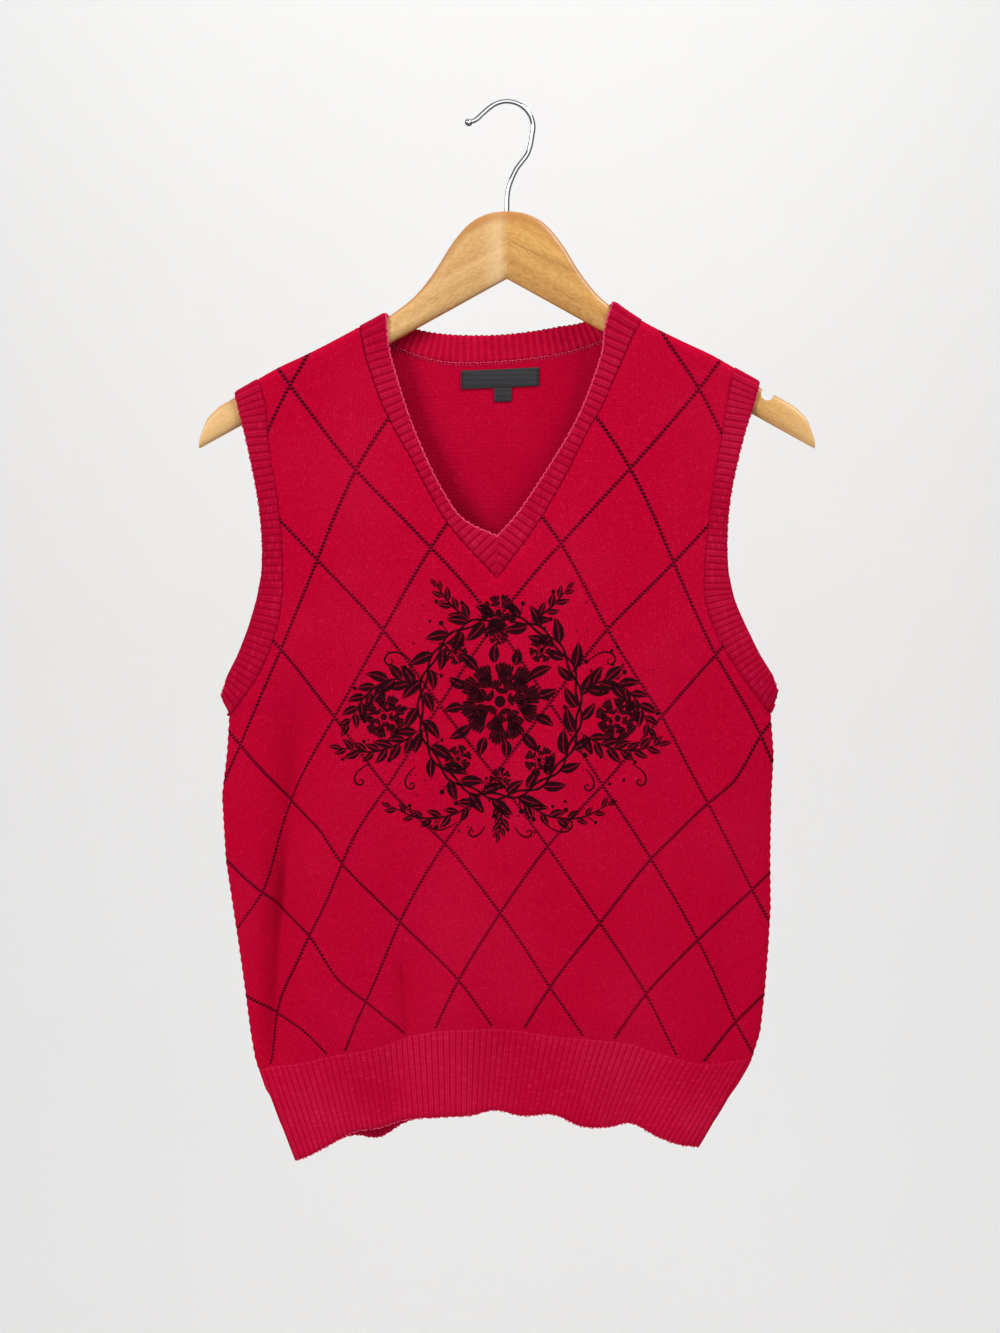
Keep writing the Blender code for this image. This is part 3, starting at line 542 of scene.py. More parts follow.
def shell(name: str, sheets: Sequence[Sheet], wall: float, outer: Material,
          inner: Material) -> Object:
    """Makes a cloth shell that stands outwards from welded sheets.

    Args:
        name: The piece's name.
        sheets: The grids of the cloth's inside.
        wall: The cloth's full thickness.
        outer: The material of the outside and the cut edge.
        inner: The material of the inside.

    Returns:
        The piece, with a Solidify modifier.
    """
    bm = bmesh.new()
    wale = bm.verts.layers.float.new("wale")
    course = bm.verts.layers.float.new("course")
    flush = bm.verts.layers.float.new("flush")
    group = bm.verts.layers.deform.verify()
    for sheet in sheets:
        inward = normals_of(sheet.points)[..., 1].sum() * FACE_SIGN[sheet.face] < 0
        grid = place_grid(bm, sheet.points, flip=inward)
        for i, row in enumerate(grid):
            for j, vert in enumerate(row):
                vert[wale], vert[course] = sheet.knit[i, j]
                vert[group][0] = float(sheet.thick[i, j])
                vert[flush] = 1.0 if i == sheet.flush else 0.0
    bmesh.ops.remove_doubles(bm, verts=bm.verts, dist=CLOTH_WELD)
    for edge in bm.edges:  # so that a flush edge isn't shaded round
        if edge.is_boundary and all(vert[flush] for vert in edge.verts):
            edge.smooth = False
    obj = finish_object(name, bm, outer, inner)
    obj.vertex_groups.new(name="thickness")
    walls = obj.modifiers.new("wall", "SOLIDIFY")
    walls.thickness = wall * MM
    walls.offset = 1
    walls.vertex_group = "thickness"
    walls.thickness_vertex_group = 0
    walls.material_offset = 1
    return obj


class Heap:
    """Many small shapes that become one mesh, in batches because a big mesh is slow to add to."""

    def __init__(self, *layers: str, batch: int = 2500) -> None:
        """Starts an empty heap whose vertices carry the named numbers."""
        self.names, self.batch, self.made = layers, batch, []
        self.start()

    def start(self) -> None:
        """Starts a batch."""
        self.bm = bmesh.new()
        self.layers = [self.bm.verts.layers.float.new(name) for name in self.names]

    def keep(self) -> None:
        """Puts the batch away once it is big enough."""
        if len(self.bm.verts) > self.batch:
            self.close()
            self.start()

    def close(self) -> None:
        """Puts the batch away as a mesh."""
        mesh = bpy.data.meshes.new("batch")
        self.bm.to_mesh(mesh)
        self.bm.free()
        self.made.append(mesh)

    def whole(self) -> bmesh.types.BMesh:
        """Joins all the batches."""
        self.close()
        bm = bmesh.new()
        for mesh in self.made:
            bm.from_mesh(mesh)
            bpy.data.meshes.remove(mesh)
        return bm


def normals_of(points: Array) -> Array:
    """The unit normals of a grid of points, on the side that its columns and rows turn to."""
    across, down = np.gradient(points, axis=1), np.gradient(points, axis=0)
    normal = np.cross(across, down)
    return normal / np.maximum(np.linalg.norm(normal, axis=-1, keepdims=True), 1e-9)


class Graph:
    """A material's nodes."""

    def __init__(self, name: str) -> None:
        """Starts a material without nodes."""
        self.material = bpy.data.materials.new(name)
        self.material.use_nodes = True
        self.nodes, self.links = self.material.node_tree.nodes, self.material.node_tree.links
        self.nodes.clear()

    def add(self, kind: str, *inputs: object, out: int | str = 0,
            **settings: object) -> NodeSocket:
        """Adds a node with its settings and links.

        Args:
            kind: The node's type, without the ShaderNode that it starts with.
            inputs: A value or a socket for each input in order, or one dict of them by name.
            out: Which output to return.
            settings: The node's properties.

        Returns:
            The output socket, or the node if it has none.
        """
        node = self.nodes.new("ShaderNode" + kind)
        for key, value in settings.items():
            setattr(node, key, value)
        named = inputs[0].items() if inputs and isinstance(inputs[0], dict) else enumerate(inputs)
        for key, value in named:
            if isinstance(value, NodeSocket):
                self.links.new(value, node.inputs[key])
            else:
                node.inputs[key].default_value = value
        return node.outputs[out] if len(node.outputs) else node

    def finish(self, base: str, layers: Sequence[tuple[NodeSocket, str]], height: NodeSocket,
               strength: float, depth: float, skin: dict[str, object]) -> Material:
        """Gives the surface its colours, its relief and its skin.

        Args:
            base: The lowest colour.
            layers: For each layer over it, how much of it covers the last one, and its colour.
            height: How high the surface stands, from 0 to 1.
            strength: How clearly the relief shows.
            depth: How deep it is, in metres.
            skin: The shader's other inputs.

        Returns:
            The material.
        """
        colour: object = linear(base)
        for share, over in layers:
            colour = self.add("Mix", {0: share, 6: colour, 7: linear(over)},
                              data_type="RGBA", out=2)
        bump = self.add("Bump", {"Strength": strength, "Distance": depth, "Height": height})
        shader = self.add("BsdfPrincipled", {"Base Color": colour, "Normal": bump, **skin})
        self.add("OutputMaterial", shader)
        return self.material


LINE = "#2A0414"  # the diamonds' dark yarn


class Stitch(Enum):
    """How a knitted surface looks: how sharp its valleys are, its courses' depth and slant.

    A sharpness below 0 turns the surface inside out, so that the valleys stand up.
    """

    PLAIN = (2.0, 0.30, -0.45)  # the smooth side of jersey, columns of V
    PURL = (3.0, 0.38, 0.0)  # the rough side of jersey, rows of bumps
    RIB = (2.4, 0.12, -0.2)  # rounded ribs two columns wide, with valleys as broad
    RIB_INSIDE = (-1.7, 0.12, 0.0)  # the same from inside, where the valleys stand up


@dataclass(frozen=True)
class KnitFinish:
    """Dyed cotton yarn, knitted: matt, a little hairy, with shade painted between the stitches.

    To the eye, each stitch is a small pale V over a dark gap of painted shade, every yarn has its
    own shade, some courses run paler, and fibres rubbed up in washing lay a faint bloom over
    patches of the cloth.
    """

    name: str
    stitch: Stitch  # what the surface shows
    base: str = "#CC0031"  # the yarn's colour where light reaches it
    deep: str = "#960020"  # the painted shade between the stitches
    pale: str = "#E2305E"  # the colour of the yarn's paler fibres, and of the painted highlights at the seam and on the ribs
    relief: float = 0.35  # the height of a stitch, in millimetres
    line: str | None = None  # the colour of the diamonds' stitches, or None without them
    ink: str | None = None  # the colour of a print over the stitches, or None without it
    glint: float = 0.4  # how much paler a rib is beside its valley
    seam_highlight: float = 0.0  # the painted highlight: how much paler the first courses after the seam are
    bloom: str = "#FF2A58"  # the colour of the fibres that stand off the cloth

    def build(self) -> Material:
        """Makes the material."""
        g = Graph(self.name)
        sharp, beat, slant = self.stitch.value
        wale = g.add("Attribute", attribute_name="wale", out="Fac")
        course = g.add("Attribute", attribute_name="course", out="Fac")
        shifted = g.add("Math", wale, 0.5, operation="ADD")
        cell = g.add("Math", shifted, operation="FLOOR")
        part = g.add("Math", shifted, operation="FRACT")
        side = g.add("Math", part, 2.0, -1.0, operation="MULTIPLY_ADD")
        side = g.add("Math", side, operation="ABSOLUTE")  # 0 in a column's middle, 1 at its edges
        lifted = g.add("Math", side, slant, course, operation="MULTIPLY_ADD")
        turned = g.add("Math", lifted, 2 * math.pi, operation="MULTIPLY")
        wave = g.add("Math", turned, operation="COSINE")
        valley = g.add("Math", side, abs(sharp), operation="POWER")
        column = valley if sharp < 0 else g.add("Math", 1.0, valley, operation="SUBTRACT")
        waved = g.add("Math", wave, beat, 1 - beat, operation="MULTIPLY_ADD")
        height = g.add("Math", column, waved, operation="MULTIPLY")

        place = g.add("TexCoord", out="Object")
        # fibre ends two thirds of a millimetre apart, and washed patches about 70 mm across
        fibre = g.add("TexNoise", {"Vector": place, "Scale": 1500.0, "Detail": 2.0}, out="Fac")
        wash = g.add("TexNoise", {"Vector": place, "Scale": 14.0, "Detail": 3.0}, out="Fac")
        course_cell = g.add("Math", lifted, 0.5, operation="ADD")
        course_cell = g.add("Math", course_cell, operation="FLOOR")
        stitch_at = g.add("CombineXYZ", cell, course_cell)
        each = g.add("TexWhiteNoise", {"Vector": stitch_at}, noise_dimensions="2D", out="Value")
        # uneven yarn: streaks some 14 stitches long that follow a course
        streak_at = g.add("Mapping", {"Vector": stitch_at, "Scale": (0.07, 0.9, 1.0)})
        streak = g.add("TexNoise", {"Vector": streak_at, "Scale": 1.0, "Detail": 2.0}, out="Fac")

        # painted shade: each stitch runs from the shade colour in its gaps up to the base colour on
        # its top
        tone = g.add("MapRange", height, 0.0, 1.0, 0.3, 0.9)
        for part_of, share in ((fibre, 0.3), (each, 0.16), (streak, 0.3)):
            tone = g.add("Math", part_of, share, tone, operation="MULTIPLY_ADD")
        tone = g.add("Math", tone, 0.38, operation="SUBTRACT", use_clamp=True)
        rubbed = g.add("MapRange", wash, 0.4, 0.75, 0.02, 0.16)
        fleck = g.add("MapRange", each, 0.82, 1.0, 0.0, 0.22)
        rubbed = g.add("Math", rubbed, fleck, operation="ADD")
        rubbed = g.add("Math", rubbed, height, operation="MULTIPLY")
        layers = [(tone, self.base), (rubbed, self.pale)]
        if self.seam_highlight:  # a painted highlight along the first courses after the seam
            near = g.add("MapRange", course, 0.3, 1.5, self.seam_highlight, 0.0)
            layers.append((near, self.pale))
        if self.stitch is Stitch.RIB:  # the outer legs of a rib's two columns catch the light
            rise = g.add("MapRange", side, 0.12, 0.3, 0.0, 1.0)
            fall = g.add("MapRange", side, 0.36, 0.56, 1.0, 0.0)
            share = g.add("Math", rise, fall, operation="MULTIPLY")
            patchy = g.add("MapRange", wash, 0.36, 0.62, 0.55 * self.glint, 1.25 * self.glint)
            share = g.add("Math", share, patchy, operation="MULTIPLY")
            layers.append((share, self.pale))
        if self.line:
            layers.append((self.lines(g, wale, course, side, wash), self.line))
        if self.ink:
            layers.append((self.inked(g, place, height, wash), self.ink))
        return g.finish(self.deep, layers, height, 0.7, self.relief * MM, {
            "Roughness": 0.9, "Sheen Weight": 0.05, "Sheen Roughness": 0.4,
            "Sheen Tint": linear(self.bloom), "Specular IOR Level": 0.03,
        })

    def lines(self, g: Graph, wale: NodeSocket, course: NodeSocket, side: NodeSocket,
              wash: NodeSocket) -> NodeSocket:
        """Finds the stitches of the diamonds' outlines, one in each column and two courses.

        Args:
            g: The material's nodes.
            wale: The wales' number, rising by 1 from column to column.
            course: The courses' number, likewise.
            side: 0 in a column's middle and 1 at its edges.
            wash: The patches where the cloth is more worn.

        Returns:
            How much of the lines' colour shows.
        """
        period = 2.0 * Lattice.half
        pair = g.add("Math", course, 0.5, 0.5, operation="MULTIPLY_ADD")
        step = g.add("Math", pair, operation="FLOOR")
        within = g.add("Math", pair, operation="FRACT")
        mark: object = 0.0
        for spread in (0.1, 0.5, 0.9):  # a stitch's thick yarn laps over its neighbours
            lapped = g.add("Math", g.add("Math", wale, spread, operation="ADD"), operation="FLOOR")
            for way in ("ADD", "SUBTRACT"):
                diagonal = g.add("Math", lapped, step, operation=way)
                diagonal = g.add("Math", diagonal, period, operation="FLOORED_MODULO")
                here = g.add("Math", diagonal, 0.5, operation="LESS_THAN")
                mark = g.add("Math", mark, here, operation="MAXIMUM")
        leg = g.add("Math", side, -0.2, within, operation="MULTIPLY_ADD")
        leg = g.add("Math", leg, 0.4, operation="SUBTRACT")
        leg = g.add("Math", leg, operation="ABSOLUTE")
        leg = g.add("MapRange", leg, 0.35, 0.45, 1.0, 0.12)
        narrow = g.add("MapRange", side, 0.85, 1.0, 1.0, 0.75)
        worn = g.add("MapRange", wash, 0.35, 0.7, 0.95, 0.78)
        seam = g.add("Attribute", attribute_name="flush", out="Fac")  # 1 on the panel's last row
        above = g.add("Math", seam, 0.35, operation="LESS_THAN")
        for shown in (leg, narrow, worn, above):
            mark = g.add("Math", mark, shown, operation="MULTIPLY")
        return mark

    def inked(self, g: Graph, place: NodeSocket, height: NodeSocket,
              wash: NodeSocket) -> NodeSocket:
        """Finds where worn ink has held: on the stitches, raggedly towards a stroke's rim.

        Args:
            g: The material's nodes.
            place: The place on the cloth.
            height: How high the stitch stands, from 0 to 1.
            wash: The patches where the print is more worn.

        Returns:
            How much of the ink shows.
        """
        border = g.add("Attribute", attribute_name="border", out="Fac")  # 0 inside, 1 at the rim
        ragged = g.add("TexNoise", {"Vector": place, "Scale": 520.0, "Detail": 4.0,
                                    "Roughness": 0.7}, out="Fac")
        held = g.add("Math", height, 0.12, ragged, operation="MULTIPLY_ADD")
        rim = g.add("Math", border, 5.0, operation="POWER")
        for loss, share in ((rim, -0.16), (wash, -0.12)):
            held = g.add("Math", loss, share, held, operation="MULTIPLY_ADD")
        return g.add("MapRange", held, 0.2, 0.27, 0.1, 0.97)


@dataclass(frozen=True)
class WoodFinish:
    """Beech under clear lacquer: fine grain along the arm, short flecks, painted shade on the
    rounded edges.

    The lacquer gives the eye a soft broad shine; the rounded edges are painted a darker amber, as
    shade.
    The grain's bands are 8 mm apart, the flecks 1.3 mm wide and 4 mm long, the pores 1 mm apart.
    """

    name: str
    pale: str  # the colour between the grain's lines
    deep: str  # the colour of the grain's lines
    lean: float  # how the arm slopes, in radians
    gleam: float = 0.0  # how strong the painted highlight beside the joint in the middle is
    streak: float = 0.0  # how dark a mineral streak below the joint is
    rim_shade: str = "#B4742F"  # the amber of the painted shade on the rounded rims
    bare: str = "#ECC184"  # where the tip is rubbed bare
    highlight_colour: str = "#FFE3B4"  # the painted highlight beside the joint, where the wood turns to the light
    stain: str = "#8E5A22"  # of the mineral streak

    def build(self) -> Material:
        """Makes the material."""
        g = Graph(self.name)
        place = g.add("TexCoord", out="Object")
        turned = g.add("Mapping", {"Vector": place, "Rotation": (0, self.lean, 0)})
        drawn = g.add("Mapping", {"Vector": turned, "Scale": (5.0, 40.0, 130.0)})
        grain = g.add("TexNoise", {"Vector": drawn, "Scale": 1.0, "Detail": 5.0,
                                   "Distortion": 0.35}, out="Fac")
        short = g.add("Mapping", {"Vector": turned, "Scale": (260.0, 700.0, 760.0)})
        fleck = g.add("TexNoise", {"Vector": short, "Scale": 1.0, "Detail": 3.0}, out="Fac")
        line = g.add("Mapping", {"Vector": turned, "Scale": (12.0, 200.0, 900.0)})
        pore = g.add("TexNoise", {"Vector": line, "Scale": 1.0, "Detail": 3.0}, out="Fac")
        tone = g.add("MapRange", grain, 0.32, 0.7, 0.0, 0.7)
        dark = g.add("MapRange", fleck, 0.4, 0.65, -0.12, 0.34)
        tone = g.add("Math", tone, dark, operation="ADD")
        tone = g.add("Math", pore, 0.25, tone, operation="MULTIPLY_ADD", use_clamp=True)
        reach = g.add("Attribute", attribute_name="reach", out="Fac")  # 0 at the hook, 1 at the tip
        edge = g.add("Attribute", attribute_name="edge", out="Fac")  # 0 in the middle, 1 at a rim
        # the rims' painted shade, in amber, strongest under the upper rim
        worn = g.add("MapRange", edge, 0.15, 0.75, 0.0, 0.72, interpolation_type="SMOOTHSTEP")
        warm = g.add("MapRange", reach, 0.0, 0.85, 0.14, 0.0)
        tip = g.add("MapRange", reach, 0.8, 0.98, 0.0, 0.5)
        layers = [(tone, self.deep)]
        if self.gleam:
            layers.append((self.painted_highlight(g, reach), self.highlight_colour))
        layers += [(worn, self.rim_shade), (warm, self.deep), (tip, self.bare)]
        if self.streak:
            layers += [(share, self.stain) for share in self.stained(g, turned, grain)]
        gloss = g.add("MapRange", grain, 0.3, 0.7, 0.4, 0.52)
        return g.finish(self.pale, layers, tone, 0.25, 0.0001, {
            "Roughness": gloss, "IOR": 1.52, "Coat Weight": 0.15, "Coat Roughness": 0.3,
        })

    def painted_highlight(self, g: Graph, reach: NodeSocket) -> NodeSocket:
        """Finds the upright pale band of painted highlight beside the joint."""
        rise = g.add("MapRange", reach, 0.006, 0.026, 0.0, self.gleam,
                     interpolation_type="SMOOTHSTEP")
        fall = g.add("MapRange", reach, 0.026, 0.1, 1.0, 0.0, interpolation_type="SMOOTHSTEP")
        return g.add("Math", rise, fall, operation="MULTIPLY")

    def stained(self, g: Graph, turned: NodeSocket, grain: NodeSocket) -> list[NodeSocket]:
        """Finds a dark line in the grain, and the soft stain that it widens into further out.

        Args:
            g: The material's nodes.
            turned: The place on the arm, in metres, with X along it.
            grain: The grain's noise, which makes the line waver.

        Returns:
            How much of the line shows, and how much of the stain.
        """
        found = []
        across = g.add("SeparateXYZ", turned, out="Z")
        along = g.add("SeparateXYZ", turned, out="X")
        off = g.add("Math", along, -0.07, across, operation="MULTIPLY_ADD")
        off = g.add("Math", grain, 0.0016, off, operation="MULTIPLY_ADD")
        off = g.add("Math", off, 0.0896, operation="ADD")
        off = g.add("Math", off, operation="ABSOLUTE")
        for width, starts, ends, dark in (
            (0.0007, (0.050, 0.053), (0.070, 0.080), 1.0),
            (0.0034, (0.062, 0.085), (0.100, 0.125), 0.5),
        ):
            share = g.add("MapRange", off, 0.0, width, self.streak * dark, 0.0)
            for shown in (g.add("MapRange", along, *starts, 0.0, 1.0),
                          g.add("MapRange", along, *ends, 1.0, 0.0)):
                share = g.add("Math", share, shown, operation="MULTIPLY")
            found.append(share)
        return found


@dataclass(frozen=True)
class ChromeFinish:
    """Bright nickel-chrome plate on drawn wire: a mirror with faint rub marks.

    To the eye it is a pale line along the middle of the wire between two dark ones.
    """

    name: str = "chrome_plated_wire"
    colour: str = "#B4B6BA"  # what the plate mirrors white as

    def build(self) -> Material:
        """Makes the material."""
        g = Graph(self.name)
        place = g.add("TexCoord", out="Object")
        # rub marks 3 mm long
        rub = g.add("TexNoise", {"Vector": place, "Scale": 300.0, "Detail": 3.0}, out="Fac")
        gloss = g.add("MapRange", rub, 0.35, 0.7, 0.05, 0.14)
        return g.finish(self.colour, [], rub, 0.12, 0.00005, {"Metallic": 1.0, "Roughness": gloss})


@dataclass(frozen=True)
class LabelFinish:
    """Black polyester ribbon woven in satin: fine crosswise threads, a soft shine."""

    name: str = "woven_satin_label"
    thread: str = "#161619"  # the colour between the threads
    shine: str = "#2A292E"  # the colour along the threads' tops
    # from thread to thread, drawn coarser than the real 0.2 mm so that the weave shows
    pitch: float = 0.6

    def build(self) -> Material:
        """Makes the material."""
        g = Graph(self.name)
        place = g.add("TexCoord", out="Object")
        weft = g.add("TexWave", {"Vector": place, "Scale": 0.05 / (self.pitch * MM),
                                 "Distortion": 0.6}, bands_direction="Z", out="Fac")
        lint = g.add("TexNoise", {"Vector": place, "Scale": 700.0, "Detail": 3.0}, out="Fac")
        tone = g.add("Math", weft, 0.35, lint, operation="MULTIPLY_ADD")
        tone = g.add("MapRange", tone, 0.35, 1.0, 0.0, 1.0)
        skin = {"Roughness": 0.6, "Sheen Weight": 0.1}
        return g.finish(self.thread, [(tone, self.shine)], weft, 0.4, 0.0001, skin)


@dataclass(frozen=True)
class ThreadFinish:
    """Plied sewing or linking thread: matt, with each loop's plies a little paler or darker."""

    name: str
    colour: str  # the colour of the plies' tops
    dark: str  # the colour between them

    def build(self) -> Material:
        """Makes the material."""
        g = Graph(self.name)
        place = g.add("TexCoord", out="Object")
        lint = g.add("TexNoise", {"Vector": place, "Scale": 800.0, "Detail": 3.0}, out="Fac")
        tone = g.add("MapRange", lint, 0.3, 0.7, 0.0, 1.0)
        skin = {"Roughness": 0.9, "Sheen Weight": 0.08, "Specular IOR Level": 0.05}
        return g.finish(self.dark, [(tone, self.colour)], lint, 0.4, 0.0002, skin)


class Wardrobe:
    """The finishes that pieces share, each made once."""

    def __init__(self) -> None:
        """Makes the finishes."""
        # smooth jersey: the front has dark lines one stitch wide, the back has none
        self.front = KnitFinish("cotton_jersey_with_diamonds", Stitch.PLAIN, line=LINE).build()
        self.plain = KnitFinish("cotton_jersey", Stitch.PLAIN).build()
        # the jersey's rough inside, a field of small bumps
        self.purl = KnitFinish("cotton_jersey_inside", Stitch.PURL, relief=0.3).build()
        # rib: painted darker than the jersey, as the bands' shade, and paler inside, where its
        # valleys stand up
        self.rib = KnitFinish("cotton_rib", Stitch.RIB, base="#A80029", deep="#920023",
                              relief=0.1, glint=0.2).build()
        self.hem_rib = KnitFinish("cotton_hem_rib", Stitch.RIB, base="#B6002C", deep="#A40027",
                                  relief=0.11, glint=0.22, seam_highlight=0.18).build()
        self.rib_inside = KnitFinish("cotton_rib_inside", Stitch.RIB_INSIDE, base="#CC0E39",
                                     deep="#9A0022", relief=0.3).build()
        # ink that lies on the stitches' tops and leaves the cloth red in the gaps
        self.ink = KnitFinish("black_screen_print", Stitch.PLAIN, line=LINE, ink="#1A0810").build()
        # threads: a pale dotted line along most edges, painted darker as shade in the groove and at
        # the back rim
        self.thread = ThreadFinish("linking_thread", "#EE4E76", "#C82650").build()
        self.shaded_groove_thread = ThreadFinish("shaded_groove_thread", "#CE2E58", "#A81038").build()
        self.shaded_rim_thread = ThreadFinish("shaded_rim_thread", "#98102F", "#740922").build()
        # the labels' soft black shine, and stitches that are hardly paler
        self.label = LabelFinish().build()
        self.label_thread = ThreadFinish("black_sewing_thread", "#232025", "#121013").build()
        # two boards: one pale with a painted highlight beside the joint, one darker with a streak
        # in its grain
        self.wood_left = WoodFinish("lacquered_beech_left", "#E6BB7E", "#C69050",
                                    math.radians(29), gleam=0.36).build()
        self.wood_right = WoodFinish("lacquered_beech_right", "#E2AF64", "#BA7E36",
                                     math.radians(-29), streak=0.6).build()
        self.chrome = ChromeFinish().build()


def report(piece: Object, slot: str, *nodes: str) -> Object:
    """Seats a piece on the body, hides the solids that it stands for, and logs its vertex count.

    Args:
        piece: The piece.
        slot: The name of its material slot; not used.
        nodes: The solids that it stands for.

    Returns:
        The piece.
    """
    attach(piece, BODY)
    if nodes:
        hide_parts(*nodes)
    LOG.info("%s: %d vertices", piece.name, len(piece.data.vertices))
    return piece


YOKE = np.linspace(0, 1, 91) ** 1.7  # rows down to the underarm, closest at the shoulder
BODY_ROWS = np.linspace(0, 1, 81)[1:]
DOWN = np.concatenate([YOKE * 0.5, 0.5 + BODY_ROWS * 0.5])
COLUMNS = 64
NECK_COLUMNS = 26  # of these, the ones under the back neck
OUTWARD = 1.7  # how much closer the columns stand towards the side


@dataclass
class Panels:
    """The front and back panels, each of two halves that meet at the centre."""

    drape: Drape
    lattice: Lattice
    finishes: Wardrobe
    cut: tuple[float, float] = (0.41, 0.56)  # each panel's flat width and length, in metres
    # how thin the cloth is at its side, hem, top and neck, as a share of its wall
    seams: tuple[float, float, float, float] = (0.6, 1.0, 0.7, 0.65)
    # how far from a seam the cloth starts to be thicker, and how far it is full
    groove: tuple[float, float] = (0.3, 2.6)
    # the points of each half, once made
    halves: dict[tuple[Face, Side], Array] = field(default_factory=dict)

    def outer(self, side: Side) -> Array:
        """A half's outer points, row by row: the armhole's seam and then the side seam."""
        yoke, flank = self.drape.arm(side, "seam"), self.drape.flank(side)
        return np.vstack([pick(yoke, YOKE), pick(flank, BODY_ROWS)])

    def fill(self, top: Array, bottom: Array, inner: Array, outer: Array,
             across: Array) -> Array:
        """Fills four boundary lines with a grid.

        Args:
            top: The (x, z) points of the upper line, from the inside out.
            bottom: Those of the lower line, likewise.
            inner: A point for each row on the inner line, from the top down.
            outer: A point for each row on the outer line, likewise.
            across: The columns' places, as shares from 0 to 1.

        Returns:
            Rows and columns of (x, z).
        """
        top, bottom = pick(top, across), pick(bottom, across)
        s, t = across[None, :, None], DOWN[:, None, None]
        ruled = (1 - s) * inner[:, None] + s * outer[:, None]
        ruled = ruled + (1 - t) * top[None] + t * bottom[None]
        corners = (1 - t) * ((1 - s) * top[0] + s * top[-1])
        return ruled - corners - t * ((1 - s) * bottom[0] + s * bottom[-1])

    def front_half(self, side: Side) -> Array:
        """Half of the front: the V and the centre line inside, the side outside."""
        hem = self.drape.hem_top(side)
        centre = np.array([(CENTRE, NECK_TIP["seam"]), (CENTRE, hem[0, 1])])
        inner = np.vstack([pick(self.drape.neck(side, "seam"), YOKE), pick(centre, BODY_ROWS)])
        across = crowded(COLUMNS, OUTWARD)
        xz = self.fill(self.drape.shoulder(side), hem, inner, self.outer(side), across)
        return self.drape.on_face(xz, Face.FRONT)

    def back_half(self, side: Side) -> Array:
        """Half of the back: neck and shoulder along the top, the centre line inside."""
        neck = self.drape.back_neck("seam")
        middle = int(np.argmin(np.abs(neck[:, 0] - CENTRE)))
        neck = neck[middle::-1] if side is Side.LEFT else neck[middle:]
        neck = np.vstack([[CENTRE, neck[0, 1]], neck[1:]])
        top = np.vstack([neck, self.drape.shoulder(side)[1:]])
        share = lengths(neck)[-1] / lengths(top)[-1]
        out = crowded(COLUMNS - NECK_COLUMNS, OUTWARD)[1:]
        across = np.concatenate([share * crowded(NECK_COLUMNS, 1.8), share + (1 - share) * out])
        hem = self.drape.hem_top(side)
        centre = np.array([top[0], (CENTRE, hem[0, 1])])
        xz = self.fill(top, hem, pick(centre, DOWN), self.outer(side), across)
        return self.drape.on_face(xz, Face.BACK)

    def thickness(self, points: Array) -> Array:
        """Thins the cloth into a small groove along its seams.

        Args:
            points: Rows and columns of (x, y, z).

        Returns:
            The thickness at each point, as a share of the wall.
        """
        share = np.ones(points.shape[:2])
        edges = points[:, -1], points[-1], points[0], points[: len(YOKE), 0]
        for edge, least in zip(edges, self.seams):
            gap = np.full(points.shape[:2], np.inf)
            for place in edge[::2]:
                gap = np.minimum(gap, np.linalg.norm(points - place, axis=-1))
            share = np.minimum(share, least + (1 - least) * fade(*self.groove, gap))
        return share

    def build(self) -> None:
        """Makes both panels."""
        for side in Side:
            self.halves[Face.FRONT, side] = self.front_half(side)
            self.halves[Face.BACK, side] = self.back_half(side)
        for face in Face:
            sheets = []
            for side in Side:
                points = self.halves[face, side]
                knit = self.lattice(points, face)
                thick = self.thickness(points)
                sheets.append(Sheet(points, knit, face, thick, flush=len(points) - 1))
            outer = self.finishes.front if face is Face.FRONT else self.finishes.plain
            cloth = shell(f"{face.value}_cloth", sheets, PANEL_WALL, outer, self.finishes.purl)
            report(cloth, "red_knit", f"{face.value}_panel")


RIB_STEPS = 10  # points across one rib
CORNER = 25.0  # over which a band's ribs fan out at a shoulder or an underarm


def mates(line: Array, points: Array) -> Array:
    """Finds where a line is nearest to each of the points, never turning back.

    Args:
        line: The line's points.
        points: The points, in the line's direction.

    Returns:
        How far along the line each of those places is.
    """
    fine = pick(line, np.linspace(0, 1, 5000))
    along = lengths(fine)
    nearest = [int(np.argmin(np.linalg.norm(fine - point, axis=1))) for point in points]
    return np.maximum.accumulate(along[nearest])


@dataclass
class Stretch:
    """One stretch of a band, whose ribs stand square to its edge."""

    seam: Array  # the (x, y, z) points of the line that it is knitted onto
    edge: Array  # the (x, z) points of its free edge
    face: Face  # the face of the vest that it is on
    pitch: float  # the distance between ribs along the edge
    relief: float  # how deep the valleys between its ribs are pressed
    # whether it ends in a mitre, from the last edge point to the last seam point
    mitred: bool = False
    # whether its ribs fan out all along instead of standing square to the edge
    fanned: bool = False

    def columns(self) -> tuple[Array, Array, Array, Array]:
        """Works out where the band's columns start and end.

        Returns:
            The inner (x, z) points, the outer ones, how many ribs lie before each, and whether
            each ends on the free edge.
        """
        seam = self.seam[:, [0, 2]]
        long = lengths(self.edge)[-1]
        outer = pick(self.edge, np.linspace(0, 1, round(long / self.pitch * RIB_STEPS) + 1))
        free = np.ones(len(outer))
        if self.mitred:
            cut = np.vstack([self.edge[-1], seam[-1]])
            steps = round(lengths(cut)[-1] / self.pitch * RIB_STEPS)
            outer = np.vstack([outer, pick(cut, np.linspace(0, 1, steps + 1)[1:])])
            free = np.concatenate([free, np.zeros(steps)])
        out, whole = lengths(outer), lengths(seam)[-1]
        along = out / out[-1] * whole if self.fanned else mates(seam, outer)
        first = np.interp(CORNER, out, along)
        along = np.where(out < CORNER, first * out / CORNER, along)
        if not (self.mitred or self.fanned):
            last = np.interp(out[-1] - CORNER, out, along)
            left = (out[-1] - out) / CORNER
            along = np.where(left < 1, whole - (whole - last) * left, along)
        inner = pick(seam, along / whole)
        ribs = along / whole * round(whole / self.pitch)
        return inner, outer, ribs, free


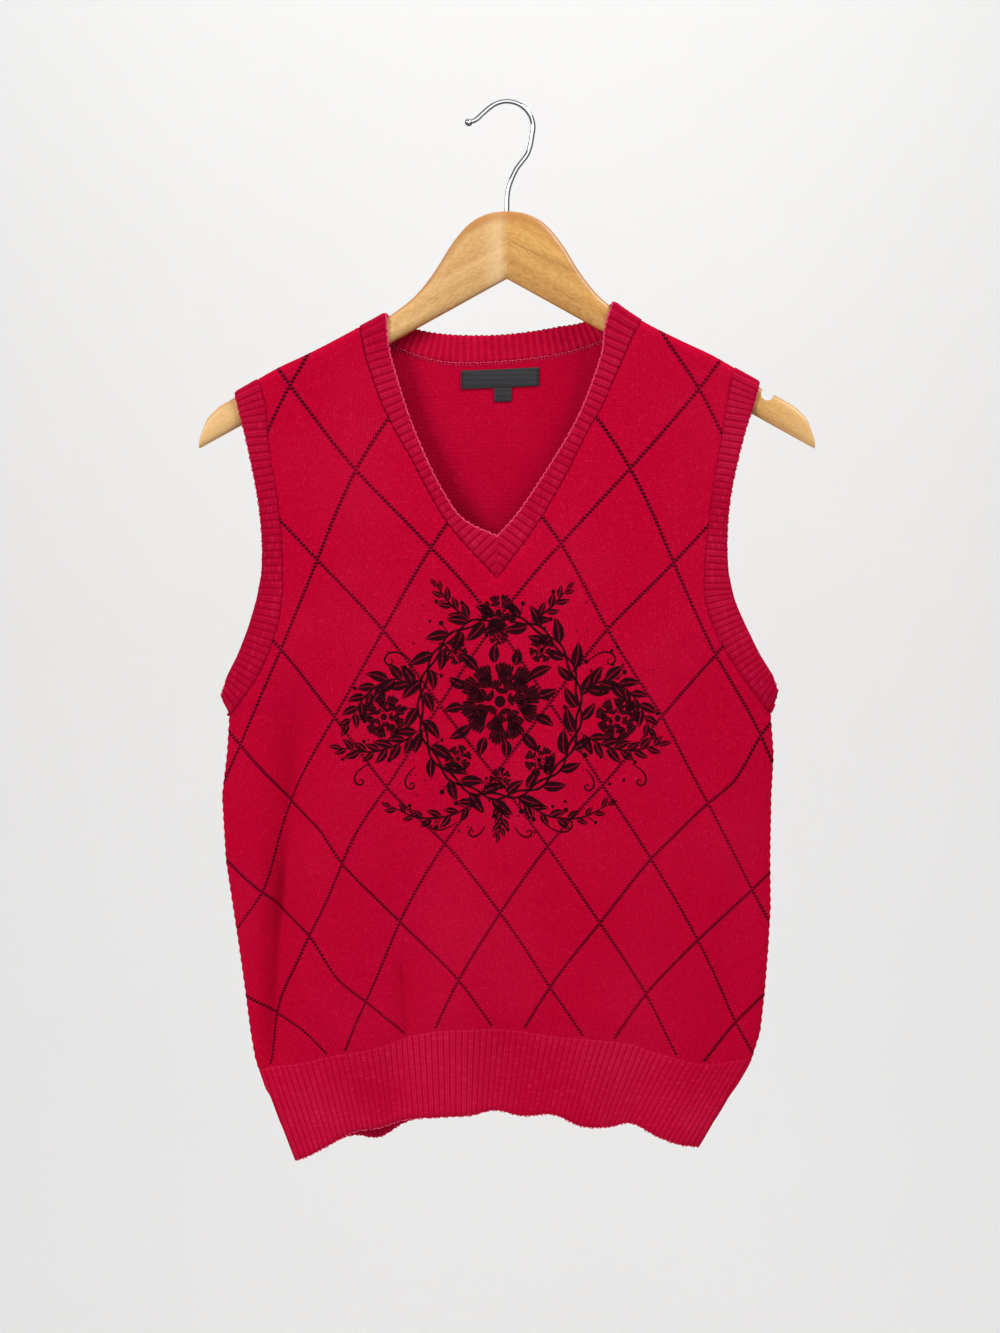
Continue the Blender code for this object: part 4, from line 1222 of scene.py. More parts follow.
@dataclass
class Bands:
    """The ribbed bands at the neck, the armholes and the hem.

    A pitch is the distance between ribs, and a relief the depth of the valleys between them.
    """

    drape: Drape
    panels: Panels
    finishes: Wardrobe
    roundness: float = 1.35  # how much broader a rib's crest is than its valley
    rise: tuple[float, float] = (1.3, 1.6)  # where a rib is full, from the seam and the edge
    rim: float = 1.5  # how far in from the free edge it is rounded
    flush: float = 6.0  # how far from the seam the hem's rib blends into the panel
    ridge_reach: float = 3.0  # how near a shoulder's ridge a band's end is lifted onto it
    ridge_blend: float = 9.0  # how far along the band it is lifted
    neck_pitch: tuple[float, float] = (5.8, 5.3)  # at the V and at the back
    neck_relief: tuple[float, float] = (0.14, 0.5)
    arm_pitch: tuple[float, float] = (5.4, 4.9)  # left and right
    arm_relief: float = 0.09
    hem_pitch: float = 4.45
    hem_relief: float = 0.14
    lines: dict[str, list[Array]] = field(default_factory=dict)

    def sheet(self, stretch: Stretch, rows: int) -> tuple[Sheet, Array]:
        """Makes the grid of one stretch, with its ribs.

        Args:
            stretch: The stretch.
            rows: How many rows of faces its width has.

        Returns:
            The grid, and the points of its free edge.
        """
        inner, outer, ribs, free = stretch.columns()
        t = np.linspace(0, 1, rows + 1)[:, None, None]
        xz = (1 - t) * inner[None] + t * outer[None]
        xz = self.meet_ridge(xz, lengths(outer))
        points = self.drape.on_face(xz, stretch.face)
        wide = np.linalg.norm(outer - inner, axis=1)[None]
        from_seam, from_edge = t[..., 0] * wide, (1 - t[..., 0]) * wide
        wave = 0.5 + 0.5 * np.cos(2 * math.pi * ribs)[None]  # 1 on a crest
        crest = 1 - (1 - wave) ** self.roundness
        risen = fade(0, self.rise[0], from_seam) * fade(0, self.rise[1], from_edge)
        normals = normals_of(points)
        if normals[..., 1].sum() * FACE_SIGN[stretch.face] < 0:
            normals = -normals
        points = points - normals * (stretch.relief * (1 - crest) * risen)[..., None]
        full = 1.14 * stretch.relief
        thick = 1 - full * (1 - crest * risen) + 0.35 * full * (1 - risen)
        thick = thick - 0.32 * fade(self.rim, 0.0, from_edge) * free[None]
        if stretch.fanned:  # the hem rib starts flush with the panel
            near = fade(self.flush, 0.0, from_seam)
            thick = thick * (1 - near) + PANEL_WALL / RIB_WALL * near
        knit = np.stack(np.broadcast_arrays(ribs[None], from_seam / Lattice.course), axis=-1)
        flush = 0 if stretch.fanned else None
        return Sheet(points, knit, stretch.face, thick, flush), points[-1][free > 0]

    def meet_ridge(self, xz: Array, at: Array) -> Array:
        """Lifts a band's ends onto the shoulder's ridge, where they meet the next stretch.

        Args:
            xz: Rows and columns of (x, z).
            at: How far along the band each column is.

        Returns:
            The points, lifted.
        """
        lifted = xz.copy()
        for end, column in ((0.0, 0), (at[-1], -1)):
            gap = self.drape.ridge(xz[:, column, 0]) - xz[:, column, 1]
            if np.abs(gap).max() < self.ridge_reach:
                near = np.exp(-(((at - end) / self.ridge_blend) ** 2))
                lifted[..., 1] += gap[:, None] * near[None, :]
        return lifted

    def band(self, name: str, stretches: Sequence[Stretch], rows: int, node: str,
             outer: Material) -> None:
        """Makes one band.

        Args:
            name: The piece's name.
            stretches: The stretches that it is made of.
            rows: How many rows of faces its width has.
            node: The solid that it stands for.
            outer: The material of its outside.
        """
        made = [self.sheet(stretch, rows) for stretch in stretches]
        self.lines[name] = [edge for _, edge in made]
        band = shell(name, [sheet for sheet, _ in made], RIB_WALL, outer, self.finishes.rib_inside)
        report(band, "red_knit", node)
        self.declare([sheet for sheet, _ in made])

    def declare(self, sheets: Sequence[Sheet]) -> None:
        """Works out the length and area of the flat strip that a band is knitted as, but keeps
        neither.
        """
        long, area = 0.0, 0.0
        for sheet in sheets:
            middle = lengths(sheet.points[len(sheet.points) // 2])[-1]
            wide = np.linalg.norm(sheet.points[-1] - sheet.points[0], axis=-1).mean()
            long, area = long + middle, area + middle * wide

    def build(self) -> None:
        """Makes the five bands."""
        halves, yoke = self.panels.halves, len(YOKE)
        neck = [
            Stretch(halves[Face.FRONT, side][:yoke, 0], self.drape.neck(side, "edge"), Face.FRONT,
                    self.neck_pitch[0], self.neck_relief[0], mitred=True)
            for side in Side
        ]
        left, right = (halves[Face.BACK, side][0, : NECK_COLUMNS + 1] for side in Side)
        neck.append(Stretch(np.vstack([left[::-1], right[1:]]), self.drape.back_neck("edge"),
                            Face.BACK, self.neck_pitch[1], self.neck_relief[1]))
        self.band("neckband_rib", neck, 10, "neckband", self.finishes.rib)
        for side, pitch in zip(Side, self.arm_pitch):
            edge = self.drape.arm(side, "edge")
            self.band(f"armband_{side.value}_rib", [
                Stretch(halves[face, side][:yoke, -1], edge, face, pitch, self.arm_relief)
                for face in Face
            ], 10, f"armband_{side.value}", self.finishes.rib)
        for face in Face:
            left, right = (halves[face, side][-1] for side in Side)
            seam = np.vstack([left[::-1], right[1:]])
            ends = HEM_BOTTOM_CORNER[Side.LEFT], HEM_BOTTOM_CORNER[Side.RIGHT]
            xs = np.linspace(ends[0][0] + 8, ends[1][0] - 8, 120)
            edge = np.vstack([ends[0], np.column_stack([xs, HEM.at(face.value, xs)]), ends[1]])
            stretch = Stretch(seam, edge, face, self.hem_pitch, self.hem_relief, fanned=True)
            self.band(f"hem_{face.value}_rib", [stretch], 24, f"hem_rib_{face.value}",
                      self.finishes.hem_rib)


@dataclass(frozen=True)
class Loops:
    """The loops of one kind of chain."""

    pitch: float  # the distance from loop to loop
    long: float  # a loop's length
    thick: float  # its thickness
    lift: tuple[float, float, float]  # how far it stands off its line, as (x, y, z)


def chain(name: str, line: Array, loops: Loops, thread: Material,
          slot: str = "red_knit") -> Object:
    """Lays loops that lean left and right by turns along a line.

    Args:
        name: The piece's name.
        line: The (x, y, z) points that the loops follow.
        loops: The loops.
        thread: The thread's material.
        slot: The material slot.

    Returns:
        The piece.
    """
    count = max(2, round(lengths(line)[-1] / loops.pitch))
    turns = np.arange(count)
    places = pick(line, (turns + 0.5) / count)
    ahead = pick(line, (turns + 0.6) / count) - places
    places = places + np.array(loops.lift) + np.outer(0.22 * np.sin(1.9 * turns), (0.6, 0.3, 0.6))
    heap = Heap()
    for k, (place, way) in enumerate(zip(places, ahead)):
        made = bmesh.ops.create_uvsphere(heap.bm, u_segments=6, v_segments=4, radius=0.5)["verts"]
        turn = Vector(way).to_track_quat("Z", "Y").to_matrix()
        lean = (0.3 if k % 2 else -0.3) * (1 + 0.3 * math.sin(7.3 * k))
        plump = 1 + 0.22 * math.sin(2.1 * k) * math.sin(0.37 * k)
        for vert in made:
            vert.co *= Vector((loops.thick * plump, loops.thick * plump, loops.long))
            vert.co.y += lean * vert.co.z
            vert.co = turn @ vert.co + Vector(place)
        heap.keep()
    return report(finish_object(name, heap.whole(), thread), slot)


@dataclass
class Chains:
    """The rows of small loops that link the bands and finish their edges."""

    drape: Drape
    bands: Bands
    finishes: Wardrobe
    v_edge: Loops = Loops(2.1, 3.5, 1.4, (0, -RIB_WALL * 0.55, 0))
    back_edge: Loops = Loops(1.9, 3.8, 0.75, (0, RIB_WALL * 0.35, 0))
    arm_edge: Loops = Loops(3.2, 3.1, 0.9, (0, -RIB_WALL * 0.15, 0))
    neck_seam: Loops = Loops(2.6, 2.3, 0.9, (0, -0.35, 0))
    second_seam: Loops = Loops(2.6, 1.9, 0.7, (0, -0.2, 0))
    second_drop: float = 1.6  # how far the second row is under the first

    def build(self) -> None:
        """Makes the chains."""
        lines, thread = self.bands.lines, self.finishes.thread
        left, right, back = lines["neckband_rib"]
        v_edge = np.vstack([left, right[::-1][1:]])
        chain("neck_edge_chain_front", v_edge, self.v_edge, thread)
        chain("neck_edge_chain_back", back, self.back_edge, self.finishes.shaded_rim_thread)
        for side in Side:
            front, back = lines[f"armband_{side.value}_rib"]
            edge = np.vstack([front[::-1], back[1:]])
            chain(f"arm_edge_chain_{side.value}", edge, self.arm_edge, thread)
        for face in Face:
            (edge,) = lines[f"hem_{face.value}_rib"]
            loops = Loops(3.0, 2.9, 0.95, (0, FACE_SIGN[face] * RIB_WALL * 0.5, -0.2))
            chain(f"hem_edge_chain_{face.value}", edge, loops, thread)
        seam = self.drape.on_face(self.drape.back_neck("seam")[8:-8], Face.BACK)
        chain("back_neck_seam_chain", seam, self.neck_seam, thread)
        second = seam - np.array([0, 0, self.second_drop])
        chain("back_neck_second_chain", second, self.second_seam, self.finishes.shaded_groove_thread)


def heading(angle: float) -> Array:
    """The unit vector at an angle in radians from +X."""
    return np.array([math.cos(angle), math.sin(angle)])


SPRIGS = (  # each stem's points from the medallion's middle, its leaves, and their length and width
    (((-58, 14), (-76, 20), (-95, 9), (-108, -12)), 13, 18, 8),
    (((-57, -16), (-72, -26), (-92, -32), (-113, -29)), 12, 16, 6.6),
    (((58, 12), (77, 19), (96, 7), (107, -15)), 13, 18, 8),
    (((57, -18), (73, -27), (93, -31), (113, -27)), 12, 16, 6.6),
    (((-14, -66), (-34, -77), (-58, -79), (-78, -71)), 10, 13, 5.6),
    (((14, -66), (35, -78), (58, -79), (77, -70)), 10, 13, 5.6),
    (((0, -68), (1, -80), (-1, -91)), 7, 11, 4.8),
    (((-20, 62), (-34, 72), (-45, 86)), 7, 13, 5.4),
    (((22, 61), (36, 71), (48, 84)), 7, 13, 5.4),
)
CURLS = (  # each tendril's start from the middle, its heading, length and turns
    ((-60, 30), 2.4, 44, 1.1), ((60, 30), 0.75, 44, -1.1), ((-92, -40), 3.6, 36, 1.2),
    ((93, -40), -0.5, 36, -1.2), ((-30, -82), 3.7, 40, -1.1), ((31, -83), -0.6, 40, 1.1),
    ((-60, -42), 3.9, 34, 1.2), ((60, -43), -0.8, 34, -1.2), ((-10, -84), 4.2, 26, -1.0),
    ((10, -85), -1.0, 26, 1.0),
)
SMALL_BLOOMS = (  # each small flower's middle from the medallion's, its radius and its turn
    ((-30, -37), 10, 0.3), ((28, -38), 11, 0.9), ((-32, 39), 9, 0.1), ((30, 41), 9.5, 0.6),
    ((0, -51), 8, 0.5), ((-1, 51), 7, 0.2),
)


@dataclass
class Print:
    """A worn floral medallion printed on the chest, drawn as brush strokes on the cloth."""

    drape: Drape
    lattice: Lattice
    finishes: Wardrobe
    middle: tuple[float, float] = (-5.0, -436.0)  # the (x, z) of the medallion's middle
    lift: float = 0.16  # how far the ink stands off the cloth
    # each stroke's line and its width on both sides, once drawn
    strokes: list[tuple[Array, Array, Array]] = field(default_factory=list)

    def stroke(self, line: Array, left: Array, right: Array | None = None) -> None:
        """Keeps a stroke along a line, with its width on each side of it."""
        left = np.broadcast_to(left, len(line))
        right = left if right is None else np.broadcast_to(right, len(line))
        self.strokes.append((np.asarray(line, float), left, right))

    def brush(self, points: Sequence[Sequence[float]], wide: float, swell: float = 0.75) -> None:
        """Draws a curved line that swells in its middle and ends in points.

        Args:
            points: The (x, z) points that it passes through.
            wide: Its width in the middle.
            swell: How late it swells.
        """
        line = curve_through(points, max(8, 5 * len(points)))
        share = np.sin(math.pi * np.linspace(0.03, 0.97, len(line))) ** swell
        self.stroke(line, wide / 2 * share)

    def leaf(self, base: Sequence[float], angle: float, long: float, wide: float,
             curl: float = 0.0) -> None:
        """Draws a leaf as two halves beside a bare vein.

        Args:
            base: Where its stalk meets the stem.
            angle: Where it points, in radians from +X.
            long: Its length.
            wide: Its width.
            curl: How far it bends to its left, in radians.
        """
        u = np.linspace(0, 1, 13)
        turn = angle + curl * u
        steps = np.column_stack([np.cos(turn), np.sin(turn)]) * long / 12
        line = np.asarray(base) + np.vstack([[0, 0], np.cumsum(steps[:-1], axis=0)])
        half = wide / 2 * np.sin(math.pi * u**0.8) ** 0.9 + 0.12
        vein = np.minimum(0.28, half * 0.3)
        self.stroke(line, half, -vein)
        self.stroke(line, -vein, half * 0.92)

    def petal(self, base: Sequence[float], angle: float, long: float, wide: float) -> None:
        """Draws a petal as filled strips that fan from its base, with bare lines between them.

        Args:
            base: Where it starts.
            angle: Where it points, in radians from +X.
            long: Its length.
            wide: Its width.
        """
        count = max(2, round(wide / 2.3))
        along = heading(angle)
        aside = np.array([-along[1], along[0]])
        u = np.linspace(0.05, 1, 12)
        for k in range(count):
            place = (2 * k + 1) / count - 1
            reach = long * math.sqrt(1 - 0.42 * place**2) * (1 + 0.04 * math.sin(5 * k + 9 * angle))
            half = wide / 2 * np.sin(math.pi / 2 * np.minimum(u * 1.15, 1)) ** 0.9
            line = np.asarray(base) + np.outer(u * reach, along)
            line = line + np.outer(half * place * 0.96, aside)
            rounded = np.sqrt(np.clip(1 - np.clip((u - 0.8) / 0.2, 0, 1) ** 2, 0, 1))
            self.stroke(line, np.maximum(half / count - 0.16, 0.1) * rounded + 0.04)

    def bloom(self, centre: Sequence[float], radius: float, rings: Sequence[int],
              turn: float = 0.0) -> None:
        """Draws a flower of petals in rings round a dark eye, outermost ring first.

        Args:
            centre: Its (x, z).
            radius: Its radius.
            rings: How many petals each ring has.
            turn: How far it is turned, in radians.
        """
        for k, count in enumerate(rings):
            share = 1 - k / (len(rings) + 0.6)
            start = radius * share * 0.52
            for n in range(count):
                angle = turn + 0.4 * k + 2 * math.pi * n / count + 0.07 * math.sin(3 * n + k)
                base = np.asarray(centre) + start * heading(angle)
                long = radius * share * (0.47 + 0.05 * math.sin(2 * n + 1.3 * k))
                self.petal(base, angle, long, 2 * math.pi * radius * share / count * 0.74)
        self.berry(centre, radius * 0.12 + 0.5)
        for n in range(9):
            angle = turn + 2 * math.pi * n / 9
            reach = radius * (0.2 + 0.03 * (n % 2)) + 0.8
            self.berry(np.asarray(centre) + reach * heading(angle), 0.55)

    def berry(self, centre: Sequence[float], radius: float) -> None:
        """Draws a filled dot."""
        u = np.linspace(-1, 1, 7)
        line = np.asarray(centre, float) + np.outer(u * radius, (1, 0))
        self.stroke(line, radius * np.sqrt(1 - u**2) + 0.05)

    def sprig(self, points: Sequence[Sequence[float]], leaves: int, long: float, wide: float,
              stem: float = 1.3) -> None:
        """Draws a stem with leaves on both sides that grow smaller towards its tip.

        Args:
            points: The (x, z) points that the stem passes through.
            leaves: How many leaves it has along its sides.
            long: The lowest leaf's length.
            wide: The lowest leaf's width.
            stem: The stem's width.
        """
        self.brush(points, stem, 0.5)
        line = curve_through(points, 120)
        way = np.gradient(line, axis=0)
        for k in range(leaves):
            share = (k + 0.8) / (leaves + 0.4)
            i = min(int(share * 119), 119)
            ahead = math.atan2(way[i, 1], way[i, 0])
            side = 1 if k % 2 else -1
            size = (1 - 0.42 * share) * (1 + 0.1 * math.sin(5.1 * k))
            self.leaf(line[i], ahead + side * 0.82, long * size, wide * size, -side * 0.5)
            if k % 3 == 1:
                tip = line[i] + 0.62 * long * heading(ahead - side * 0.95)
                self.brush([line[i], (line[i] + tip) / 2 + way[i] * 0.6, tip], 0.7)
                self.berry(tip, 1.5 * size + 0.3)
        self.leaf(line[-1], math.atan2(way[-1, 1], way[-1, 0]), long * 0.6, wide * 0.55)

    def tendril(self, start: Sequence[float], ahead: float, long: float, turns: float) -> None:
        """Draws a thin line that winds into a curl.

        Args:
            start: Its (x, z).
            ahead: Where it points at first, in radians from +X.
            long: Its length.
            turns: How often it turns, less than 0 to the right.
        """
        u = np.linspace(0, 1, 34)
        turn = ahead + turns * 2 * math.pi * u**2.2
        step = long / 33 * (1.25 - 0.75 * u)
        steps = np.column_stack([np.cos(turn), np.sin(turn)]) * step[:, None]
        line = np.asarray(start) + np.cumsum(steps, axis=0)
        self.stroke(line, 0.55 * np.sin(math.pi * np.linspace(0.12, 0.9, 34)) + 0.06)

    def wreath(self) -> None:
        """Draws the ring: two stems that twist round each other, with leaves and berries."""
        wide, high, pairs = 57.0, 64.0, 21
        at = np.linspace(0, 2 * math.pi, 221)
        for sign in (-1, 1):
            reach = 1 + sign * 0.035 * np.sin(pairs / 2 * at)
            ring = np.column_stack([wide * reach * np.cos(at), high * reach * np.sin(at)])
            pen = 0.65 + 0.3 * np.sin(pairs * at + sign) ** 2
            for part in range(4):
                span = slice(part * 55, part * 55 + 56)
                self.stroke(ring[span] + self.middle, pen[span])
        for k in range(pairs * 2):
            angle = 2 * math.pi * k / (pairs * 2) + 0.02 * math.sin(4 * k)
            side = 1 if k % 2 else -1
            reach = 1 + side * 0.03
            base = np.array([wide * reach * math.cos(angle), high * reach * math.sin(angle)])
            along = math.atan2(high * math.cos(angle), -wide * math.sin(angle))
            size = 1 + 0.12 * math.sin(2.7 * k)
            lean = -side * 0.75
            self.leaf(base + self.middle, along + lean, 17 * size, 7.4 * size, -lean * 0.6)
            if k % 3 == 0:
                out = base * (1 + side * 0.16) + self.middle
                self.berry(out, 1.5 + 0.3 * math.sin(k))
                self.brush([base + self.middle, (base * (1 + side * 0.1) + self.middle), out], 0.7)

    def bouquet(self) -> None:
        """Draws the flowers and leaves inside the ring."""
        x, z = self.middle
        for k in range(12):
            angle = 2 * math.pi * k / 12 + 0.13
            base = np.array([x + 27 * math.cos(angle), z + 4 + 28 * math.sin(angle)])
            self.leaf(base, angle + 0.15 * math.sin(3 * k), 15 + 3 * math.sin(2 * k), 7.5,
                      0.5 * (-1) ** k)
        self.bloom((x, z + 4), 30, (10, 8, 7, 5), 0.2)
        for at, size, turn in SMALL_BLOOMS:
            self.bloom((x + at[0], z + at[1]), size, (7, 5), turn)

    def sprays(self) -> None:
        """Draws the sprigs that grow out of the ring, and their flowers and curls."""
        x, z = self.middle
        for points, leaves, long, wide in SPRIGS:
            self.sprig([(x + right, z + up) for right, up in points], leaves, long, wide)
        self.bloom((x - 83, z - 7), 16, (9, 7, 5), 0.4)
        self.bloom((x + 84, z - 8), 16, (9, 7, 5), 0.1)
        self.bloom((x - 1, z + 68), 13, (8, 5), 0.3)
        for start, ahead, long, turns in CURLS:
            self.tendril((x + start[0], z + start[1]), ahead, long, turns)

    def specks(self) -> None:
        """Draws stray drops of ink round the medallion."""
        random = np.random.default_rng(11)
        for _ in range(150):
            angle, reach = random.uniform(0, 2 * math.pi), random.uniform(0.75, 1.3)
            size = 0.35 + 0.9 * random.random() ** 3
            x = self.middle[0] + 88 * reach * math.cos(angle)
            z = self.middle[1] + 74 * reach * math.sin(angle)
            if z < -352 and abs(x + 5) < 121:
                self.berry((x, z), size)

    def surface(self, xz: Array) -> Array:
        """The (x, y, z) of points on the outside of the front, under the ink."""
        x, z = xz[..., 0], xz[..., 1]
        y = self.drape.depth(x, z, Face.FRONT)
        slope_x = (self.drape.depth(x + 0.5, z, Face.FRONT) - y) / 0.5
        slope_z = (self.drape.depth(x, z + 0.5, Face.FRONT) - y) / 0.5
        stand = (PANEL_WALL + self.lift) * np.sqrt(1 + slope_x**2 + slope_z**2)
        return np.stack([x, y - stand, z], axis=-1)

    def build(self) -> None:
        """Makes all the ink one piece."""
        self.wreath()
        self.bouquet()
        self.sprays()
        self.specks()
        across = np.linspace(-1, 1, 5)
        grids = []
        for line, left, right in self.strokes:
            way = np.gradient(line, axis=0)
            way /= np.maximum(np.linalg.norm(way, axis=1)[:, None], 1e-9)
            aside = np.column_stack([-way[:, 1], way[:, 0]])
            offsets = np.stack([left + (c + 1) / 2 * (-right - left) for c in across], axis=1)
            grids.append(line[:, None] + aside[:, None] * offsets[..., None])
        points = self.surface(np.concatenate(grids))
        knit = self.lattice(points, Face.FRONT)
        heap, start = Heap("wale", "course", "border"), 0
        for grid in grids:
            part = slice(start, start + len(grid))
            start += len(grid)
            inward = normals_of(points[part])[..., 1].sum() > 0
            for i, row in enumerate(place_grid(heap.bm, points[part], flip=inward)):
                for j, vert in enumerate(row):
                    vert[heap.layers[0]], vert[heap.layers[1]] = knit[part][i, j]
                    vert[heap.layers[2]] = abs(across[j])
            heap.keep()
        report(finish_object("chest_print", heap.whole(), self.finishes.ink), "red_knit")


@dataclass(frozen=True)
class Patch:
    """One strip of woven ribbon."""

    name: str  # the piece's name
    node: str  # the solid that it stands for
    left: float  # this and the next three are its edges
    right: float
    top: float
    bottom: float
    tilt: float  # how much higher its right end is than its left one
    wall: float  # its thickness


@dataclass
class Label:
    """A bare woven label with a smaller bare tab below it, sewn inside the back."""

    drape: Drape
    finishes: Wardrobe
    label: Patch = Patch("label_cloth", "neck_label", -33.2, 23.4, -191.4, -204.8, 2.6, 0.6)
    tab: Patch = Patch("size_tab_cloth", "size_tab", -9.2, 3.5, -204.9, -214.9, 0.3, 0.5)
    stitches: Loops = Loops(1.6, 1.5, 0.6, (0, -1.25, 0))

    def patch(self, cloth: Patch) -> Object:
        """Makes one patch that lies just inside the back panel.

        Args:
            cloth: The patch.

        Returns:
            The piece.
        """
        xs, zs = np.linspace(cloth.left, cloth.right, 41), np.linspace(cloth.bottom, cloth.top, 13)
        slope = np.linspace(-0.5, 0.5, 41) * cloth.tilt
        xz = np.stack([np.broadcast_to(xs, (13, 41)), zs[:, None] + slope[None]], axis=-1)
        points = self.drape.on_face(xz, Face.BACK)
        middle = 1 - (2 * (np.arange(41) / 40) - 1) ** 2
        points[..., 1] -= 0.5 + 0.35 * middle[None] * np.sin(np.linspace(0, math.pi, 13))[:, None]
        bm = bmesh.new()
        place_grid(bm, points)
        obj = finish_object(cloth.name, bm, self.finishes.label)
        walls = obj.modifiers.new("wall", "SOLIDIFY")
        walls.thickness, walls.offset = cloth.wall * MM, 1
        edge = obj.modifiers.new("edge", "BEVEL")
        edge.width, edge.segments = 0.2 * MM, 2
        return report(obj, "label_cloth", cloth.node)

    def build(self) -> None:
        """Makes the label, its tab and the stitches at its ends."""
        self.patch(self.label)
        self.patch(self.tab)
        for side, x, low, high in (
            (Side.LEFT, -32.3, -205.6, -193.1), (Side.RIGHT, 22.5, -203.1, -190.7),
        ):
            places = np.column_stack([np.full(12, x), np.linspace(low, high, 12)])
            line = self.drape.on_face(places, Face.BACK)
            chain(f"label_stitches_{side.value}", line, self.stitches, self.finishes.label_thread,
                  "label_cloth")


@dataclass
class Hanger:
    """Two lofted wooden halves, glued at the centre, and a plated wire hook."""

    drape: Drape
    finishes: Wardrobe
    half_thickness: float = 6.0
    tip_share: float = 0.7  # how thin the tips are, as a share of the middle
    power: float = 2.6  # how square the section's corners are
    stations: int = 130  # how many sections an arm has
    ring: int = 44  # how many points a section has
    slot_x: float = 186.0  # the middle of a strap slot's round bottom
    slot_z: float = -212.6
    slot_radius: float = 4.6
    slope: float = math.radians(28.8)  # how the arm slopes there
    joint: float = 0.012  # how far each half stays clear of the middle
    bore_bottom: float = -108.0
    cutter: float = 60.0  # longer than any cut is deep
    ball: float = 2.8  # the radius of the hook's ball

    def section(self, x: float) -> Array:
        """The closed ring of points round the arm at x."""
        top, bottom = float(HANGER.at("top", x)), float(HANGER.at("bottom", x))
        thin = 1 - (1 - self.tip_share) * float(fade(190, self.drape.hanger_span, x))
        turns = np.linspace(0, 2 * math.pi, self.ring + 1)
        c, s = np.cos(turns), np.sin(turns)
        y = self.drape.bend(x) + self.half_thickness * thin * np.sign(c) * np.abs(c) ** (2 / 3)
        z = (top + bottom) / 2 + (top - bottom) / 2 * np.sign(s) * np.abs(s) ** (2 / self.power)
        return np.column_stack([np.full(len(turns), x), y, z])

    def half(self, side: Side) -> Object:
        """Makes one half, with its strap slot and half of the bore.

        Args:
            side: Which half.

        Returns:
            The piece.
        """
        sign = -1 if side is Side.LEFT else 1
        rings = []
        for share in crowded(self.stations, 1.35):
            ring = self.section(self.joint + share * (self.drape.hanger_span - self.joint))
            ring[:, 0] *= sign
            rings.append(ring)
        bm = bmesh.new()
        place_grid(bm, np.stack(rings))
        bmesh.ops.remove_doubles(bm, verts=bm.verts, dist=WELD)
        bmesh.ops.holes_fill(bm, edges=[edge for edge in bm.edges if edge.is_boundary])
        bmesh.ops.recalc_face_normals(bm, faces=bm.faces)
        wood = self.finishes.wood_left if side is Side.LEFT else self.finishes.wood_right
        obj = finish_object(f"hanger_wood_{side.value}", bm, wood)
        for cutter in (self.slot_cutter(sign, wood), self.bore_cutter(wood)):
            self.cut(obj, cutter)
        obj.data.set_sharp_from_angle(angle=math.radians(38))
        self.mark(obj.data)
        return report(obj, "wood", f"hanger_{side.value}")

    def mark(self, mesh: Mesh) -> None:
        """Notes how near each vertex is to the arm's rim and to its tip."""
        places = np.array([vert.co for vert in mesh.vertices]) / MM
        x = np.abs(places[:, 0])
        top, bottom = HANGER.at("top", x), HANGER.at("bottom", x)
        reach = np.clip(x / self.drape.hanger_span, 0, 1)
        band = 4.0 + 10.0 * fade(0.34, 0.14, reach)  # how far down the upper rim's painted shade reaches
        # 1 under the upper rim and up to 0.7 along the lower one, where shade is painted
        above = 1 - np.clip((top - places[:, 2]) / band, 0, 1)
        below = 0.7 - np.clip((places[:, 2] - bottom) / 3.0, 0, 0.7)
        for name, values in (("edge", np.maximum(above, below)), ("reach", reach)):
            layer = mesh.attributes.new(name, "FLOAT", "POINT")
            for k, value in enumerate(values):
                layer.data[k].value = float(value)

    def slot_cutter(self, sign: int, wood: Material) -> Object:
        """Makes a strap slot's cutter: a round bottom with walls that go up and out of the wood.

        Args:
            sign: -1 for the left half and 1 for the right one.
            wood: The half's material.

        Returns:
            The cutter.
        """
        bm = bmesh.new()
        bmesh.ops.create_cone(bm, cap_ends=True, segments=40, radius1=self.slot_radius,
                              radius2=self.slot_radius, depth=self.cutter)
        for vert in bm.verts:
            if vert.co.y > self.slot_radius / 100:
                vert.co.y += 20
        bmesh.ops.rotate(bm, verts=bm.verts, matrix=Matrix.Rotation(math.pi / 2, 3, "X"))
        lean = Matrix.Rotation(sign * self.slope, 3, "Y")
        bmesh.ops.rotate(bm, verts=bm.verts, matrix=lean)
        place = (sign * self.slot_x, float(self.drape.bend(self.slot_x)), self.slot_z)
        bmesh.ops.translate(bm, verts=bm.verts, vec=place)
        return finish_object("slot_cutter", bm, wood)

    def bore_cutter(self, wood: Material) -> Object:
        """The bore's cutter, down from the top of the wood."""
        bm, radius = bmesh.new(), WIRE_RADIUS + 0.2
        bmesh.ops.create_cone(bm, cap_ends=True, segments=24, radius1=radius, radius2=radius,
                              depth=self.cutter)
        place = (0, 0, self.bore_bottom + self.cutter / 2)
        bmesh.ops.translate(bm, verts=bm.verts, vec=place)
        return finish_object("bore_cutter", bm, wood)

    def cut(self, obj: Object, cutter: Object) -> None:
        """Cuts the cutter out of the object for good."""
        cutting = obj.modifiers.new("cut", "BOOLEAN")
        cutting.object, cutting.operation = cutter, "DIFFERENCE"
        graph = bpy.context.evaluated_depsgraph_get()
        mesh = bpy.data.meshes.new_from_object(obj.evaluated_get(graph))
        obj.modifiers.clear()
        old, obj.data = obj.data, mesh
        mesh.name = obj.name
        bpy.data.meshes.remove(old)
        bpy.data.objects.remove(cutter)

